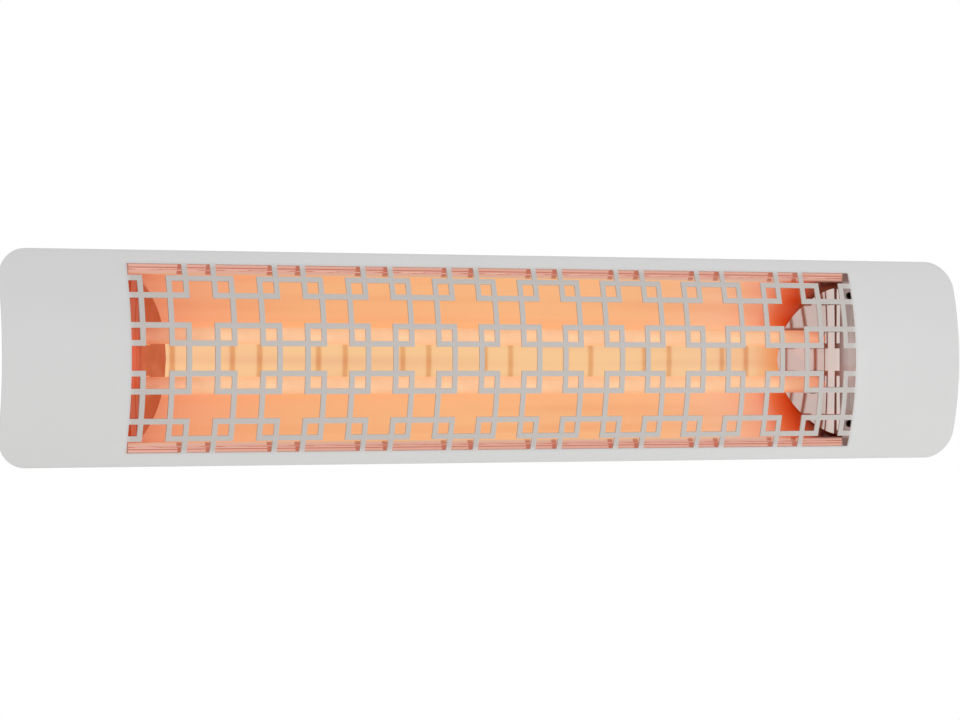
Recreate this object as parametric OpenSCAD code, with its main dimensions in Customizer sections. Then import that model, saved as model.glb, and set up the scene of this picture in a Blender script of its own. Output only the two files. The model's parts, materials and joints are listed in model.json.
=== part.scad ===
// Infrared radiant heater: two quartz tubes in a polished trough behind a curved fretwork face,
// hung on a pair of tilting wall brackets.
// Frame: X runs along the heater, Z is up and the front faces -Y. The origin lies on the wall,
// midway between the wall brackets and level with the tilt axis.

/* [Face plate] */
// Length of the face plate
face_length = 1000; // [900:1:1600]
// Height of the face plate, straight across its curve
face_height = 198; // [165:1:260]
// Bend radius of the face plate's front
face_radius = 242; // [200:1:600]
// Thickness of the face plate's sheet
face_sheet = 1.5; // [1:0.1:2.5]
// Radius of the face plate's corners
corner_radius = 28; // [5:1:60]
// Length of the plain panel at each end of the window
side_panel = 121; // [110:1:160]
// Border above and below the window
face_border = 12.5; // [11:0.5:20]

/* [Fretwork] */
// Step between neighbouring squares, along the face and round its curve
fret_step = 44.25; // [30:0.25:80]
// Side of each square, on the centreline of its bars
fret_square = 60.7; // [40:0.1:110]
// Width of the bars
fret_bar = 5.2; // [3:0.1:10]

/* [Housing] */
// Depth from the face plate's crown to the back of the housing
body_depth = 80; // [74:1:120]
// Length by which the face plate passes each end of the housing
end_overhang = 30; // [28:1:40]
// Height by which the face plate passes the top and bottom of the housing
edge_overhang = 19; // [16:1:30]
// Thickness of the housing's sheet
housing_sheet = 1.2; // [0.8:0.1:2]
// Width of the flanges along the top and bottom of the housing's mouth
flange_width = 13; // [10:1:15]

/* [Reflector] */
// Thickness of the reflector's sheet
reflector_sheet = 0.8; // [0.5:0.1:1.2]
// Space between the back of the trough and the back of the housing
rear_space = 17; // [15:1:30]
// Height by which the trough's mouth is inside the window, above and below
lip_margin = 9.5; // [6:0.5:15]
// Length by which the trough's mouth is inside the window, at each end
end_margin = 13.5; // [8:0.5:25]
// Slant of the end reflectors from square
end_slant = 45; // [30:1:50]
// Radius of the bend between an end reflector and its flange
end_bend = 25; // [5:1:30]
// Gap between the trough and the heat shield behind it
shield_gap = 5; // [3:0.5:8]

/* [Heating elements] */
// Outside diameter of the quartz tubes
tube_diameter = 15.9; // [10:0.1:20]
// Wall of the quartz tubes
tube_wall = 1.2; // [0.8:0.1:2]
// Distance between the two tubes
tube_spacing = 46; // [36:1:60]
// Distance by which the tubes sit below the middle of the face
tube_drop = 1.9; // [0:0.1:4]
// Distance of the tubes from the back of the trough
tube_standoff = 27; // [20:1:32]
// Play between a heating coil and the bore of its tube
coil_play = 2.5; // [1:0.1:3]
// Diameter of the terminal studs
stud_diameter = 4; // [3:0.5:5]

/* [Wiring] */
// Diameter of the sleeved leads
lead_diameter = 3.2; // [2:0.1:3.4]
// Bore of the cable gland
cable_bore = 10; // [6:0.5:10]
// Thread diameter of the cable gland
gland_thread = 16; // [15:1:20]

/* [Wall brackets] */
// Distance between the two brackets
bracket_spacing = 610; // [400:1:700]
// Space between the housing and the wall
wall_gap = 80; // [76:1:120]
// Distance of the tilt axis from the wall
pivot_height = 50; // [48:1:70]
// Distance between the two wall holes in each bracket
wall_hole_pitch = 60; // [50:1:90]
// Diameter of the wall holes
wall_hole = 7; // [5:0.5:9]
// Thickness of the wall brackets
wall_bracket_sheet = 3; // [2:0.5:4]
// Thickness of the hinge brackets
hinge_bracket_sheet = 2.5; // [2:0.5:3]
// Width between the ears of a wall bracket
ear_gap = 30; // [24:1:40]
// Radius of the ears round the pivot
ear_radius = 14; // [12:0.5:18]
// Diameter of the pivot bolts
pivot_bolt = 8; // [6:0.5:10]

/* [Hidden] */
$fn = 96;

// Clearances
seat_gap = 0.05;      // between pieces that are fastened face to face
screw_clearance = 0.2; // round a shank in a plain hole, on the radius
thread_clearance = 0.05; // round a shank in a tapped hole, on the radius
running_clearance = 0.05; // round the pivot bolt in its bushes, on the radius
turning_gap = 0.3;    // between pieces that turn past each other
face_gap = 0.8;       // between the face plate and the flanges behind it
cut = 1;              // by which a cutting shape passes what it cuts

// Colours
steel_grey = "#8d9094";
zinc_grey = "#b9bcc0";
black_oxide = "#2b2b2d";
ceramic_white = "#e8e2d4";
brass_gold = "#c9a24e";

// Face plate. Depths are measured from its crown, towards the wall.
half_length = face_length / 2;
half_height = face_height / 2;
face_inside = face_radius - face_sheet;
window_half_length = half_length - side_panel;
window_half_height = half_height - face_border;
window_half_arc = face_radius * asin(window_half_height / face_radius) * PI / 180;
fret_columns = ceil(window_half_length / fret_step) + 1;
fret_rows = ceil(window_half_arc / fret_step - 0.1);
face_reach = body_depth / 2;

// Housing
housing_half_length = half_length - end_overhang;
housing_half_height = half_height - edge_overhang;
wall_inside = housing_half_height - housing_sheet;
back_inside = body_depth - housing_sheet;
flange_edge = housing_half_height + flange_width;
lip_depth = depth_at(face_inside, flange_edge) + face_gap;
pan_front = lip_depth + reflector_sheet + seat_gap;
fixing_z = window_half_height + 3.4;
fixing_pitch = housing_half_length * 0.468;

// Reflector
mouth_half = window_half_height - lip_margin;
trough_back = body_depth - rear_space;
trough_depth = trough_back - lip_depth;
trough_radius = (mouth_half * mouth_half + trough_depth * trough_depth) / (2 * trough_depth);
trough_centre = trough_back - trough_radius;
mouth_half_length = window_half_length - end_margin;
end_turn = 90 - end_slant;
end_tangent = end_bend * tan(end_turn / 2);
end_flange_start = mouth_half_length + end_tangent;
end_flange_outer = end_flange_start + 15.5;
trough_half_length = end_flange_start - 0.5;
end_fold_gap = 0.8;
shield_front = trough_back + reflector_sheet + shield_gap;
shield_half_length = mouth_half_length - 4;
shield_half_height = wall_inside - 5;
shield_fixings = [for (i = [-1, 0, 1], j = [-1, 1]) [i * shield_half_length * 0.85, j * shield_half_height * 0.8]];
rivet_radius = 1.6;

// Elements
tube_depth = trough_back - tube_standoff;
tube_radius = tube_diameter / 2;
tube_bore = tube_radius - tube_wall;
tube_heights = [tube_spacing / 2 - tube_drop, -tube_spacing / 2 - tube_drop];
bracket_web = end_flange_outer + 0.5;
tube_half_length = bracket_web + 18;
coil_half_length = mouth_half_length - tube_depth + lip_depth - 6;
coil_diameter = tube_diameter - 2 * tube_wall - coil_play;
coil_radius = coil_diameter / 2;
coil_wire = 1.2;
cap_start = bracket_web + 8;
cap_length = 26;
cap_radius = tube_radius + 3.2;
cap_end = cap_start + cap_length;
stud_radius = stud_diameter / 2;
stud_start = tube_half_length + 2;
stud_end = cap_end + 20;
ring_start = cap_end + 2;
ring_sheet = 1;
barrel_radius = lead_diameter / 2 + 0.4;
barrel_end = tube_depth + stud_radius + 12;
clip_sheet = 0.9;
clip_length = 5;
clip_foot = 13;
tube_clearance = 1.2;

// Wiring compartment, at the right-hand end
compartment_start = bracket_web + 14;
lead_radius = lead_diameter / 2;
pole_pitch = 10;
pole_x = [for (i = [0:2]) compartment_start + 21 + i * pole_pitch];
block_back = back_inside - 2;
block_front = block_back - 19;
block_top = -wall_inside * 0.46;
block_bottom = block_top - 22;
pole_depth = block_back - 9;
insert_radius = lead_radius + 1.7;
earth_x = pole_x[2] + 8;
earth_z = wall_inside * 0.64;
service_x = [compartment_start + 8, compartment_start + 54];
service_z = [-wall_inside + 11, -wall_inside * 0.46 + 18];
service_rim = 8;
service_inset = 4;
gasket_sheet = 1;
cover_sheet = 1.2;
gland_x = compartment_start + 34;
gland_z = wall_inside * 0.2;
gland_bore = cable_bore / 2;
gland_radius = gland_thread / 2;
gland_inner_end = body_depth - 12;
gland_hex = gland_thread + 4;
gland_hex_length = 5;
gland_neck = 9;
cap_wall = 3;
seal_wall = 1.9;

// Brackets
rear = -wall_gap;
pivot_y = -pivot_height;
ear_inside = ear_gap / 2;
ear_outside = ear_inside + wall_bracket_sheet;
washer_sheet = 1;
bush_flange = 1;
hinge_ear_inside = ear_outside + seat_gap + washer_sheet + turning_gap + bush_flange;
hinge_ear_outside = hinge_ear_inside + hinge_bracket_sheet;
pivot_radius = pivot_bolt / 2;
bush_wall = 2;
bush_radius = pivot_radius + running_clearance + bush_wall;
outer_washer_start = hinge_ear_outside + turning_gap;
bolt_head_start = outer_washer_start + washer_sheet + seat_gap;
bolt_head_across = pivot_bolt * 1.625;
bolt_head_height = pivot_bolt * 0.66;
lock_nut_height = pivot_bolt;
wall_plate_half_width = ear_outside + 4;
wall_plate_half_height = wall_hole_pitch / 2 + 15;
hinge_base_half_height = 32;
hinge_screw = [ear_inside * 0.72, 23];
hinge_screw_diameter = 5;

// Depth of a point at height z on a cylinder concentric with the face plate's bend
function depth_at(r, z) = face_radius - sqrt(r * r - z * z);
// Height of a point that lies a distance s round the face plate's curve
function height_at(s) = face_radius * sin(s / face_radius * 180 / PI);

// Places a shape, drawn with its depth from the face plate's crown, in the frame of the part
module in_heater() { translate([0, -body_depth - wall_gap, 0]) children(); }

// Draws the same shape at both ends
module both_ends() {
  children();
  mirror([1, 0, 0]) children();
}

// A box between two corners
module block(low, high) { translate(low) cube(high - low); }

// A rod along X, and one along Y
module x_rod(r, x, y = 0, z = 0) {
  translate([x[0], y, z]) rotate([0, 90, 0]) cylinder(r = r, h = x[1] - x[0]);
}
module y_rod(r, y, x = 0, z = 0) {
  translate([x, y[0], z]) rotate([-90, 0, 0]) cylinder(r = r, h = y[1] - y[0]);
}
module z_rod(r, z, x = 0, y = 0) {
  translate([x, y, z[0]]) cylinder(r = r, h = z[1] - z[0]);
}

// A solid bar along X, concentric with the face plate's bend
module bend_cylinder(r, half) { x_rod(r, [-half, half], face_radius); }

// A pan-head screw: head above z = 0, shank below it
module screw(diameter, length, head = 1.9) {
  head_height = diameter * 0.6;
  difference() {
    union() {
      cylinder(d = diameter * head, h = head_height);
      translate([0, 0, -length]) cylinder(d = diameter, h = length);
    }
    translate([0, 0, head_height * 0.4])
      cylinder(r = diameter * 0.32, h = head_height, $fn = 6);
  }
}

// A hexagon nut standing on z = 0
module hex_nut(bore, across, height) {
  difference() {
    cylinder(r = across / sqrt(3), h = height, $fn = 6);
    translate([0, 0, -cut]) cylinder(r = bore, h = height + 2 * cut);
  }
}

// A closed tube of 8 sides along a smooth curve through the points
function curve_point(p, i, t) =
  let (a = p[max(i - 1, 0)], b = p[i], c = p[i + 1], d = p[min(i + 2, len(p) - 1)])
  0.5 * (2 * b + (c - a) * t + (2 * a - 5 * b + 4 * c - d) * t * t
    + (3 * b - a - 3 * c + d) * t * t * t);
function smooth_path(p, steps) = concat(
  [for (i = [0:len(p) - 2], j = [0:steps - 1]) curve_point(p, i, j / steps)],
  [p[len(p) - 1]]);
function unit(v) = v / norm(v);
function across(v, t) = unit(v - (v * t) * t);
function path_sides(dirs, side, i = 0) =
  i == len(dirs) ? [] :
  let (next = across(side, dirs[i])) concat([next], path_sides(dirs, next, i + 1));
module lead(points, r, first_side = [1, 0, 0.3]) {
  sides = 8;
  path = smooth_path(points, 6);
  n = len(path);
  dirs = [for (i = [0:n - 1]) unit(path[min(i + 1, n - 1)] - path[max(i - 1, 0)])];
  outs = path_sides(dirs, first_side);
  ring = [for (i = [0:n - 1], k = [0:sides - 1])
    let (a = 360 * k / sides)
    path[i] + r * (cos(a) * outs[i] + sin(a) * cross(dirs[i], outs[i]))];
  walls = [for (i = [0:n - 2], k = [0:sides - 1])
    let (a = i * sides + k, b = i * sides + (k + 1) % sides)
    [a, a + sides, b + sides, b]];
  ends = [[for (k = [0:sides - 1]) k], [for (k = [sides - 1:-1:0]) (n - 1) * sides + k]];
  polyhedron(points = ring, faces = concat(walls, ends));
}

// ---- Face plate ----

module face_outline() {
  x = half_length - corner_radius;
  z = half_height - corner_radius;
  square([2 * half_length, 2 * z], center = true);
  square([2 * x, 2 * half_height], center = true);
  for (i = [-1, 1], j = [-1, 1]) translate([i * x, j * z]) circle(r = corner_radius);
}

module window_outline(extra = 0) {
  square([2 * (window_half_length + extra), 2 * (window_half_height + extra)], center = true);
}

// A square of the fretwork, centred at column i and row j, as it is seen from straight ahead
module fret_square_outline(i, j) {
  outer = (fret_square + fret_bar) / 2;
  inner = (fret_square - fret_bar) / 2;
  difference() {
    fret_patch(i, j, outer);
    fret_patch(i, j, inner);
  }
}

module fret_patch(i, j, half) {
  low = height_at(j * fret_step - half);
  high = height_at(j * fret_step + half);
  translate([i * fret_step - half, low]) square([2 * half, high - low]);
}

module face_plate() {
  color("#d6d5d2") in_heater() intersection() {
    difference() {
      bend_cylinder(face_radius, half_length + cut);
      bend_cylinder(face_inside, half_length + 2 * cut);
    }
    translate([0, face_reach, 0]) rotate([90, 0, 0]) linear_extrude(face_reach + cut) {
      difference() {
        face_outline();
        window_outline();
      }
      intersection() {
        window_outline(0.5);
        union() for (i = [-fret_columns:fret_columns], j = [-fret_rows:fret_rows])
          if ((i + j) % 2 == 0) fret_square_outline(i, j);
      }
    }
  }
}

// Studs welded to the back of the face plate, which pass through the housing's flanges
face_stud = 4;
face_stud_length = 12;

module stud_places() {
  for (i = [-2:2], side = [0, 1]) mirror([0, 0, side])
    translate([i * fixing_pitch, 0, fixing_z]) children();
}

module face_plate_studs() {
  lean = asin(fixing_z / face_inside);
  weld_height = 1;
  weld_foot = depth_at(face_inside, fixing_z) + weld_height * cos(lean) + seat_gap;
  color(zinc_grey) in_heater() stud_places() {
    y_rod(face_stud / 2, [weld_foot, lip_depth + face_stud_length]);
    translate([0, face_radius, -fixing_z]) rotate([-90 - lean, 0, 0])
      translate([0, 0, -face_inside + 0.07]) cylinder(r = face_stud / 2 + 0.4, h = weld_height);
  }
}

module face_plate_nuts() {
  height = 3.2;
  start = pan_front + housing_sheet + seat_gap;
  color(zinc_grey) in_heater() stud_places() {
    translate([0, start, 0]) rotate([-90, 0, 0])
      hex_nut(face_stud / 2 + thread_clearance, 7, height);
  }
}

// ---- Housing ----

end_screw = 4;
end_screw_x = housing_half_length - 8;
end_screw_depths = [pan_front + 14, body_depth - 15];
end_flange = 14;

// Draws the same shape at all four corners
module four_corners() {
  both_ends() {
    children();
    mirror([0, 0, 1]) children();
  }
}

module housing_pan() {
  back_hole = [back_inside - cut, body_depth + cut];
  color(steel_grey) in_heater() difference() {
    union() {
      block([-housing_half_length, back_inside, -housing_half_height],
        [housing_half_length, body_depth, housing_half_height]);
      for (side = [0, 1]) mirror([0, 0, side]) {
        block([-housing_half_length, pan_front, wall_inside],
          [housing_half_length, body_depth, housing_half_height]);
        block([-housing_half_length, pan_front, wall_inside],
          [housing_half_length, pan_front + housing_sheet, flange_edge]);
      }
    }
    stud_places() y_rod(face_stud / 2 + screw_clearance, [0, face_reach]);
    rivet_places() y_rod(rivet_radius + screw_clearance, [0, face_reach]);
    four_corners() for (y = end_screw_depths) z_rod(end_screw / 2 + screw_clearance,
      [wall_inside - cut, housing_half_height + cut], end_screw_x, y);
    for (p = shield_fixings) y_rod(2 + screw_clearance, back_hole, p[0], p[1]);
    both_ends() for (p = element_bracket_fixings) y_rod(2 + screw_clearance, back_hole, p[0], p[1]);
    block([service_x[0], back_hole[0], service_z[0]], [service_x[1], back_hole[1], service_z[1]]);
    for (p = service_fixings) y_rod(1.75 + thread_clearance, back_hole, p[0], p[1]);
    y_rod(gland_radius + screw_clearance, back_hole, gland_x, gland_z);
    for (p = hinge_fixings) y_rod(hinge_screw_diameter / 2 + screw_clearance, back_hole, p[0], p[1]);
    for (x = terminal_bracket_fixings) z_rod(2 + screw_clearance,
      [-housing_half_height - cut, -wall_inside + cut], x, terminal_bracket_depth);
    y_rod(2.5 + screw_clearance, back_hole, earth_x, earth_z);
  }
}

module end_panel() {
  inside = wall_inside - 2 * seat_gap;
  front = 30;
  difference() {
    intersection() {
      bend_cylinder(face_inside - face_gap, half_length);
      union() {
        block([housing_half_length - housing_sheet, 0, -inside],
          [housing_half_length, back_inside - seat_gap, inside]);
        for (side = [0, 1]) mirror([0, 0, side])
          block([housing_half_length - end_flange, front, inside - housing_sheet],
            [housing_half_length, back_inside - seat_gap, inside]);
      }
    }
    for (y = end_screw_depths, side = [0, 1]) mirror([0, 0, side])
      z_rod(end_screw / 2 + thread_clearance, [inside - housing_sheet - cut, inside + cut], end_screw_x, y);
  }
}

module end_panel_left() { color(steel_grey) in_heater() mirror([1, 0, 0]) end_panel(); }
module end_panel_right() { color(steel_grey) in_heater() end_panel(); }

module end_panel_screws() {
  color(zinc_grey) in_heater() four_corners() for (y = end_screw_depths)
    translate([end_screw_x, y, housing_half_height + seat_gap]) screw(end_screw, 6);
}

// ---- Reflector ----

module rivet_places() {
  for (i = [-2:1], side = [0, 1]) mirror([0, 0, side])
    translate([(i + 0.5) * fixing_pitch, 0, fixing_z]) children();
}

module reflector_trough() {
  outer = trough_radius + reflector_sheet;
  color("#c9cbcc") in_heater() difference() {
    union() {
      intersection() {
        x_rod(outer, [-trough_half_length, trough_half_length], trough_centre);
        block([-half_length, lip_depth, -half_height], [half_length, 2 * body_depth, half_height]);
      }
      block([-trough_half_length, lip_depth, -flange_edge],
        [trough_half_length, lip_depth + reflector_sheet, flange_edge]);
    }
    x_rod(trough_radius, [-trough_half_length - cut, trough_half_length + cut], trough_centre);
    stud_places() y_rod(face_stud / 2 + screw_clearance, [0, face_reach]);
    rivet_places() y_rod(rivet_radius + screw_clearance, [0, face_reach]);
  }
}

// Rivets through the trough's flanges and the housing's
module reflector_rivets() {
  head = 0.5;
  tail = pan_front + housing_sheet + seat_gap;
  color(zinc_grey) in_heater() rivet_places() {
    y_rod(rivet_radius + 1, [lip_depth - seat_gap - head, lip_depth - seat_gap]);
    y_rod(rivet_radius, [lip_depth - seat_gap - head, tail + 1]);
    y_rod(rivet_radius + 0.8, [tail, tail + 1]);
  }
}

end_screw_place = [end_flange_start + 7.5, mouth_half - 13];

// The line of an end reflector seen from above: slanted, then bent round into its flange
module end_reflector_line() {
  bend_centre = [end_flange_start, lip_depth + end_bend];
  reach = 2 * end_bend;
  translate([mouth_half_length, lip_depth]) rotate(90 + end_slant)
    translate([end_tangent, -reflector_sheet]) square([trough_depth / cos(end_slant), reflector_sheet]);
  translate([end_flange_start, lip_depth])
    square([end_flange_outer - end_flange_start, reflector_sheet]);
  translate(bend_centre) intersection() {
    difference() {
      circle(r = end_bend);
      circle(r = end_bend - reflector_sheet);
    }
    polygon([[0, 0], [-reach * cos(end_slant), -reach * sin(end_slant)], [-reach, -reach], [0, -reach]]);
  }
}

// A slanted plate that closes the trough's end, with a flange behind the window's edge
module end_reflector() {
  difference() {
    translate([0, 0, -half_height]) linear_extrude(2 * half_height) end_reflector_line();
    difference() {
      block([0, 0, -2 * half_height], [end_flange_start, 2 * body_depth, 2 * half_height]);
      x_rod(trough_radius - end_fold_gap, [-cut, half_length], trough_centre);
    }
    for (side = [0, 1]) mirror([0, 0, side])
      block([0, 0, window_half_height + 4], [half_length, 2 * body_depth, 2 * half_height]);
    for (z = tube_heights) x_rod(tube_radius + tube_clearance, [0, half_length], tube_depth, z);
    for (side = [-1, 1])
      y_rod(2 + screw_clearance, [0, body_depth], end_screw_place[0], side * end_screw_place[1]);
  }
}

module end_reflector_left() { color("#c9cbcc") in_heater() mirror([1, 0, 0]) end_reflector(); }
module end_reflector_right() { color("#c9cbcc") in_heater() end_reflector(); }

module end_reflector_screws() {
  color(black_oxide) in_heater() four_corners()
    translate([end_screw_place[0], lip_depth - seat_gap, end_screw_place[1]])
      rotate([90, 0, 0]) screw(4, 6, 1.75);
}

// A plate that shades the back of the housing from the hot trough
module heat_shield() {
  color(steel_grey) in_heater() difference() {
    union() {
      block([-shield_half_length, shield_front, -shield_half_height],
        [shield_half_length, shield_front + reflector_sheet, shield_half_height]);
      for (side = [0, 1]) mirror([0, 0, side])
        block([-shield_half_length, shield_front - 12, shield_half_height - reflector_sheet],
          [shield_half_length, shield_front, shield_half_height]);
    }
    for (p = shield_fixings) y_rod(2 + thread_clearance, [shield_front - cut, body_depth], p[0], p[1]);
  }
}

module heat_shield_spacers() {
  color(ceramic_white) in_heater() for (p = shield_fixings) translate([p[0], 0, p[1]]) difference() {
    y_rod(4.5, [shield_front + reflector_sheet + seat_gap, back_inside - seat_gap]);
    y_rod(2 + screw_clearance, [0, body_depth]);
  }
}

module heat_shield_screws() {
  color(zinc_grey) in_heater() for (p = shield_fixings)
    translate([p[0], body_depth + seat_gap, p[1]]) rotate([-90, 0, 0])
      screw(4, body_depth - shield_front + 2);
}

// ---- Elements ----

element_foot = 12;
element_bracket_fixings = [for (z = [-0.25, 0.7]) [bracket_web + 8, z * wall_inside]];
web_half_height = wall_inside - 4;

// A sheet bracket across the end of the trough, which carries both tubes
module element_bracket() {
  front = lip_depth + reflector_sheet + seat_gap;
  back = back_inside - seat_gap;
  difference() {
    union() {
      block([bracket_web, front, -web_half_height], [bracket_web + housing_sheet, back, web_half_height]);
      block([end_flange_start + 1, front, -web_half_height],
        [bracket_web + housing_sheet, front + housing_sheet, web_half_height]);
      block([bracket_web, back - housing_sheet, -0.4 * wall_inside],
        [bracket_web + element_foot, back, web_half_height]);
    }
    for (z = tube_heights) x_rod(tube_radius + tube_clearance, [0, half_length], tube_depth, z);
    for (side = [-1, 1])
      y_rod(2 + thread_clearance, [0, 0.6 * body_depth], end_screw_place[0], side * end_screw_place[1]);
    for (p = element_bracket_fixings) y_rod(2 + thread_clearance, [tube_depth, body_depth], p[0], p[1]);
    for (z = tube_heights)
      x_rod(1.5 + screw_clearance, [0, half_length], tube_depth + tube_radius + clip_foot - 4, z);
  }
}

module element_bracket_left() { color(zinc_grey) in_heater() mirror([1, 0, 0]) element_bracket(); }
module element_bracket_right() { color(zinc_grey) in_heater() element_bracket(); }

module element_bracket_screws() {
  color(zinc_grey) in_heater() both_ends() for (p = element_bracket_fixings)
    translate([p[0], body_depth + seat_gap, p[1]]) rotate([-90, 0, 0]) screw(4, 5);
}

// Spring clips that hold the tubes on the brackets
module tube_clips() {
  start = bracket_web + housing_sheet + seat_gap;
  grip = tube_radius + 0.1;
  color(zinc_grey) in_heater() both_ends() for (z = tube_heights) translate([0, tube_depth, z]) {
    difference() {
      x_rod(grip + clip_sheet, [start, start + clip_length]);
      x_rod(grip, [start - cut, start + clip_length + cut]);
      block([start - cut, -2 * grip, -grip * 0.6], [start + clip_length + cut, 0, grip * 0.6]);
    }
    difference() {
      block([start, grip + clip_sheet / 2, -5], [start + clip_sheet, grip + clip_foot, 5]);
      x_rod(1.5 + screw_clearance, [start - cut, start + clip_length], tube_radius + clip_foot - 4);
    }
  }
}

module tube_clip_rivets() {
  start = bracket_web + housing_sheet + seat_gap + clip_sheet;
  color(zinc_grey) in_heater() both_ends() for (z = tube_heights)
    translate([0, tube_depth + tube_radius + clip_foot - 4, z]) {
      x_rod(1.5, [bracket_web - seat_gap, start + seat_gap]);
      x_rod(2.6, [start + seat_gap, start + 1]);
      x_rod(2.4, [bracket_web - 1, bracket_web - seat_gap]);
    }
}

module quartz_tube(z) {
  color("#f3c193", 0.8) in_heater() difference() {
    x_rod(tube_radius, [-tube_half_length, tube_half_length], tube_depth, z);
    x_rod(tube_bore, [-tube_half_length - cut, tube_half_length + cut], tube_depth, z);
  }
}
module upper_quartz_tube() { quartz_tube(tube_heights[0]); }
module lower_quartz_tube() { quartz_tube(tube_heights[1]); }

// The space that a close-wound coil fills, resting on the bottom of its tube
coil_drop = tube_bore - coil_radius - seat_gap;
module heating_coil(z) {
  color("#ff9d4a") in_heater() difference() {
    x_rod(coil_radius, [-coil_half_length, coil_half_length], tube_depth, z - coil_drop);
    x_rod(coil_radius - coil_wire, [-coil_half_length - cut, coil_half_length + cut], tube_depth, z - coil_drop);
  }
}
module upper_heating_coil() { heating_coil(tube_heights[0]); }
module lower_heating_coil() { heating_coil(tube_heights[1]); }

// Straight pins that carry the current from the coils to the studs
module coil_cold_pins() {
  pin_radius = 1;
  color(steel_grey) in_heater() both_ends() for (z = tube_heights) translate([0, tube_depth, z]) {
    x_rod(pin_radius, [coil_half_length + seat_gap, stud_start - seat_gap]);
    x_rod(coil_radius - coil_wire - 0.1, [coil_half_length - 8, coil_half_length - 2], 0, -coil_drop);
    x_rod(pin_radius, [coil_half_length - 2, coil_half_length + 1], 0, 0);
  }
}

module ceramic_end_caps() {
  seat = tube_half_length + seat_gap - cap_start;
  fit = tube_radius + 0.1;
  hole = stud_radius + 0.1;
  neck = stud_radius + 3.5;
  color(ceramic_white) in_heater() both_ends() for (z = tube_heights)
    translate([cap_start, tube_depth, z]) rotate([0, 90, 0]) rotate_extrude() polygon([
      [fit, 0], [cap_radius - 1, 0], [cap_radius, 1], [cap_radius, seat + 4],
      [neck, seat + 6], [neck, cap_length], [hole, cap_length], [hole, seat], [fit, seat]]);
}

module terminal_studs() {
  color(steel_grey) in_heater() both_ends() for (z = tube_heights)
    x_rod(stud_radius, [stud_start, stud_end], tube_depth, z);
}

module terminal_nuts() {
  bore = stud_radius + thread_clearance;
  width = stud_diameter * 1.75;
  thick = stud_diameter * 0.8;
  inner = ring_start + ring_sheet + seat_gap;
  color(zinc_grey) in_heater() both_ends() for (z = tube_heights, x = [inner, inner + thick + seat_gap])
    translate([x, tube_depth, z]) rotate([0, 90, 0]) hex_nut(bore, width, thick);
}

// A ring terminal with a crimped barrel, its ring on the X axis and its barrel along Y
module ring_terminal(hole, reach) {
  neck = hole + 4;
  middle = ring_sheet / 2;
  difference() {
    union() {
      x_rod(hole + 2, [0, ring_sheet]);
      block([0, 0, -barrel_radius], [ring_sheet, neck + 1, barrel_radius]);
      y_rod(barrel_radius, [neck, reach], middle);
    }
    y_rod(lead_radius + 0.1, [neck + 1, reach + cut], middle);
    x_rod(hole + 0.15, [-cut, 2 * cut]);
  }
}

earth_ring_reach = 15;
earth_ring_depth = back_inside - 5;

module ring_terminals() {
  color("#c7c2b6") in_heater() {
    both_ends() for (z = tube_heights) translate([ring_start, tube_depth, z])
      ring_terminal(stud_radius, barrel_end - tube_depth);
    translate([earth_x, earth_ring_depth, earth_z]) rotate([-90, 0, 0]) rotate([0, -90, 0])
      ring_terminal(2.5, earth_ring_reach);
  }
}

// ---- Wiring ----

lead_x = ring_start + ring_sheet / 2;
lead_start = barrel_end - 4;
lead_mouth = barrel_end + 0.5;
lead_clear = barrel_end + 4;

module jumper_lead() {
  top = tube_heights[0];
  low = tube_heights[1];
  middle = (top + low) / 2;
  color("#e9e4d6") in_heater() lead([
    [-lead_x, lead_start, top], [-lead_x, lead_mouth, top], [-lead_x, lead_clear, top],
    [-lead_x - 3, lead_clear + 5, top - 8], [-lead_x - 5, lead_clear + 7, middle],
    [-lead_x - 3, lead_clear + 5, low + 8], [-lead_x, lead_clear, low],
    [-lead_x, lead_mouth, low], [-lead_x, lead_start, low]], lead_radius);
}

module upper_lead() {
  top = tube_heights[0];
  color("#e9e4d6") in_heater() lead([
    [lead_x, lead_start, top], [lead_x, lead_mouth, top], [lead_x, lead_clear, top],
    [lead_x - 1, lead_clear + 5, top - 7], [pole_x[0] + 1, lead_clear + 6, -6],
    [pole_x[0], pole_depth - 1, block_top + 14], [pole_x[0], pole_depth, block_top + 5],
    [pole_x[0], pole_depth, block_top], [pole_x[0], pole_depth, block_top - 3]], lead_radius);
}

module lower_lead() {
  low = tube_heights[1];
  color("#e9e4d6") in_heater() lead([
    [lead_x, lead_start, low], [lead_x, lead_mouth, low], [lead_x, lead_clear, low],
    [lead_x + 4, lead_clear + 6, low - 1], [pole_x[1], pole_depth, block_top + 6],
    [pole_x[1], pole_depth, block_top + 2], [pole_x[1], pole_depth, block_top - 3]], lead_radius);
}

module earth_lead() {
  depth = earth_ring_depth + ring_sheet / 2;
  mouth = earth_z - earth_ring_reach;
  color("#6f9a4e") in_heater() lead([
    [pole_x[2], pole_depth, block_top - 3], [pole_x[2], pole_depth, block_top],
    [pole_x[2], pole_depth, block_top + 5], [pole_x[2] + 4, pole_depth - 3, block_top + 15],
    [earth_x + 6, pole_depth - 4, 0], [earth_x + 3, depth - 2, mouth - 14],
    [earth_x, depth, mouth - 4], [earth_x, depth, mouth - 0.5], [earth_x, depth, mouth + 4]], lead_radius);
}

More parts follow.
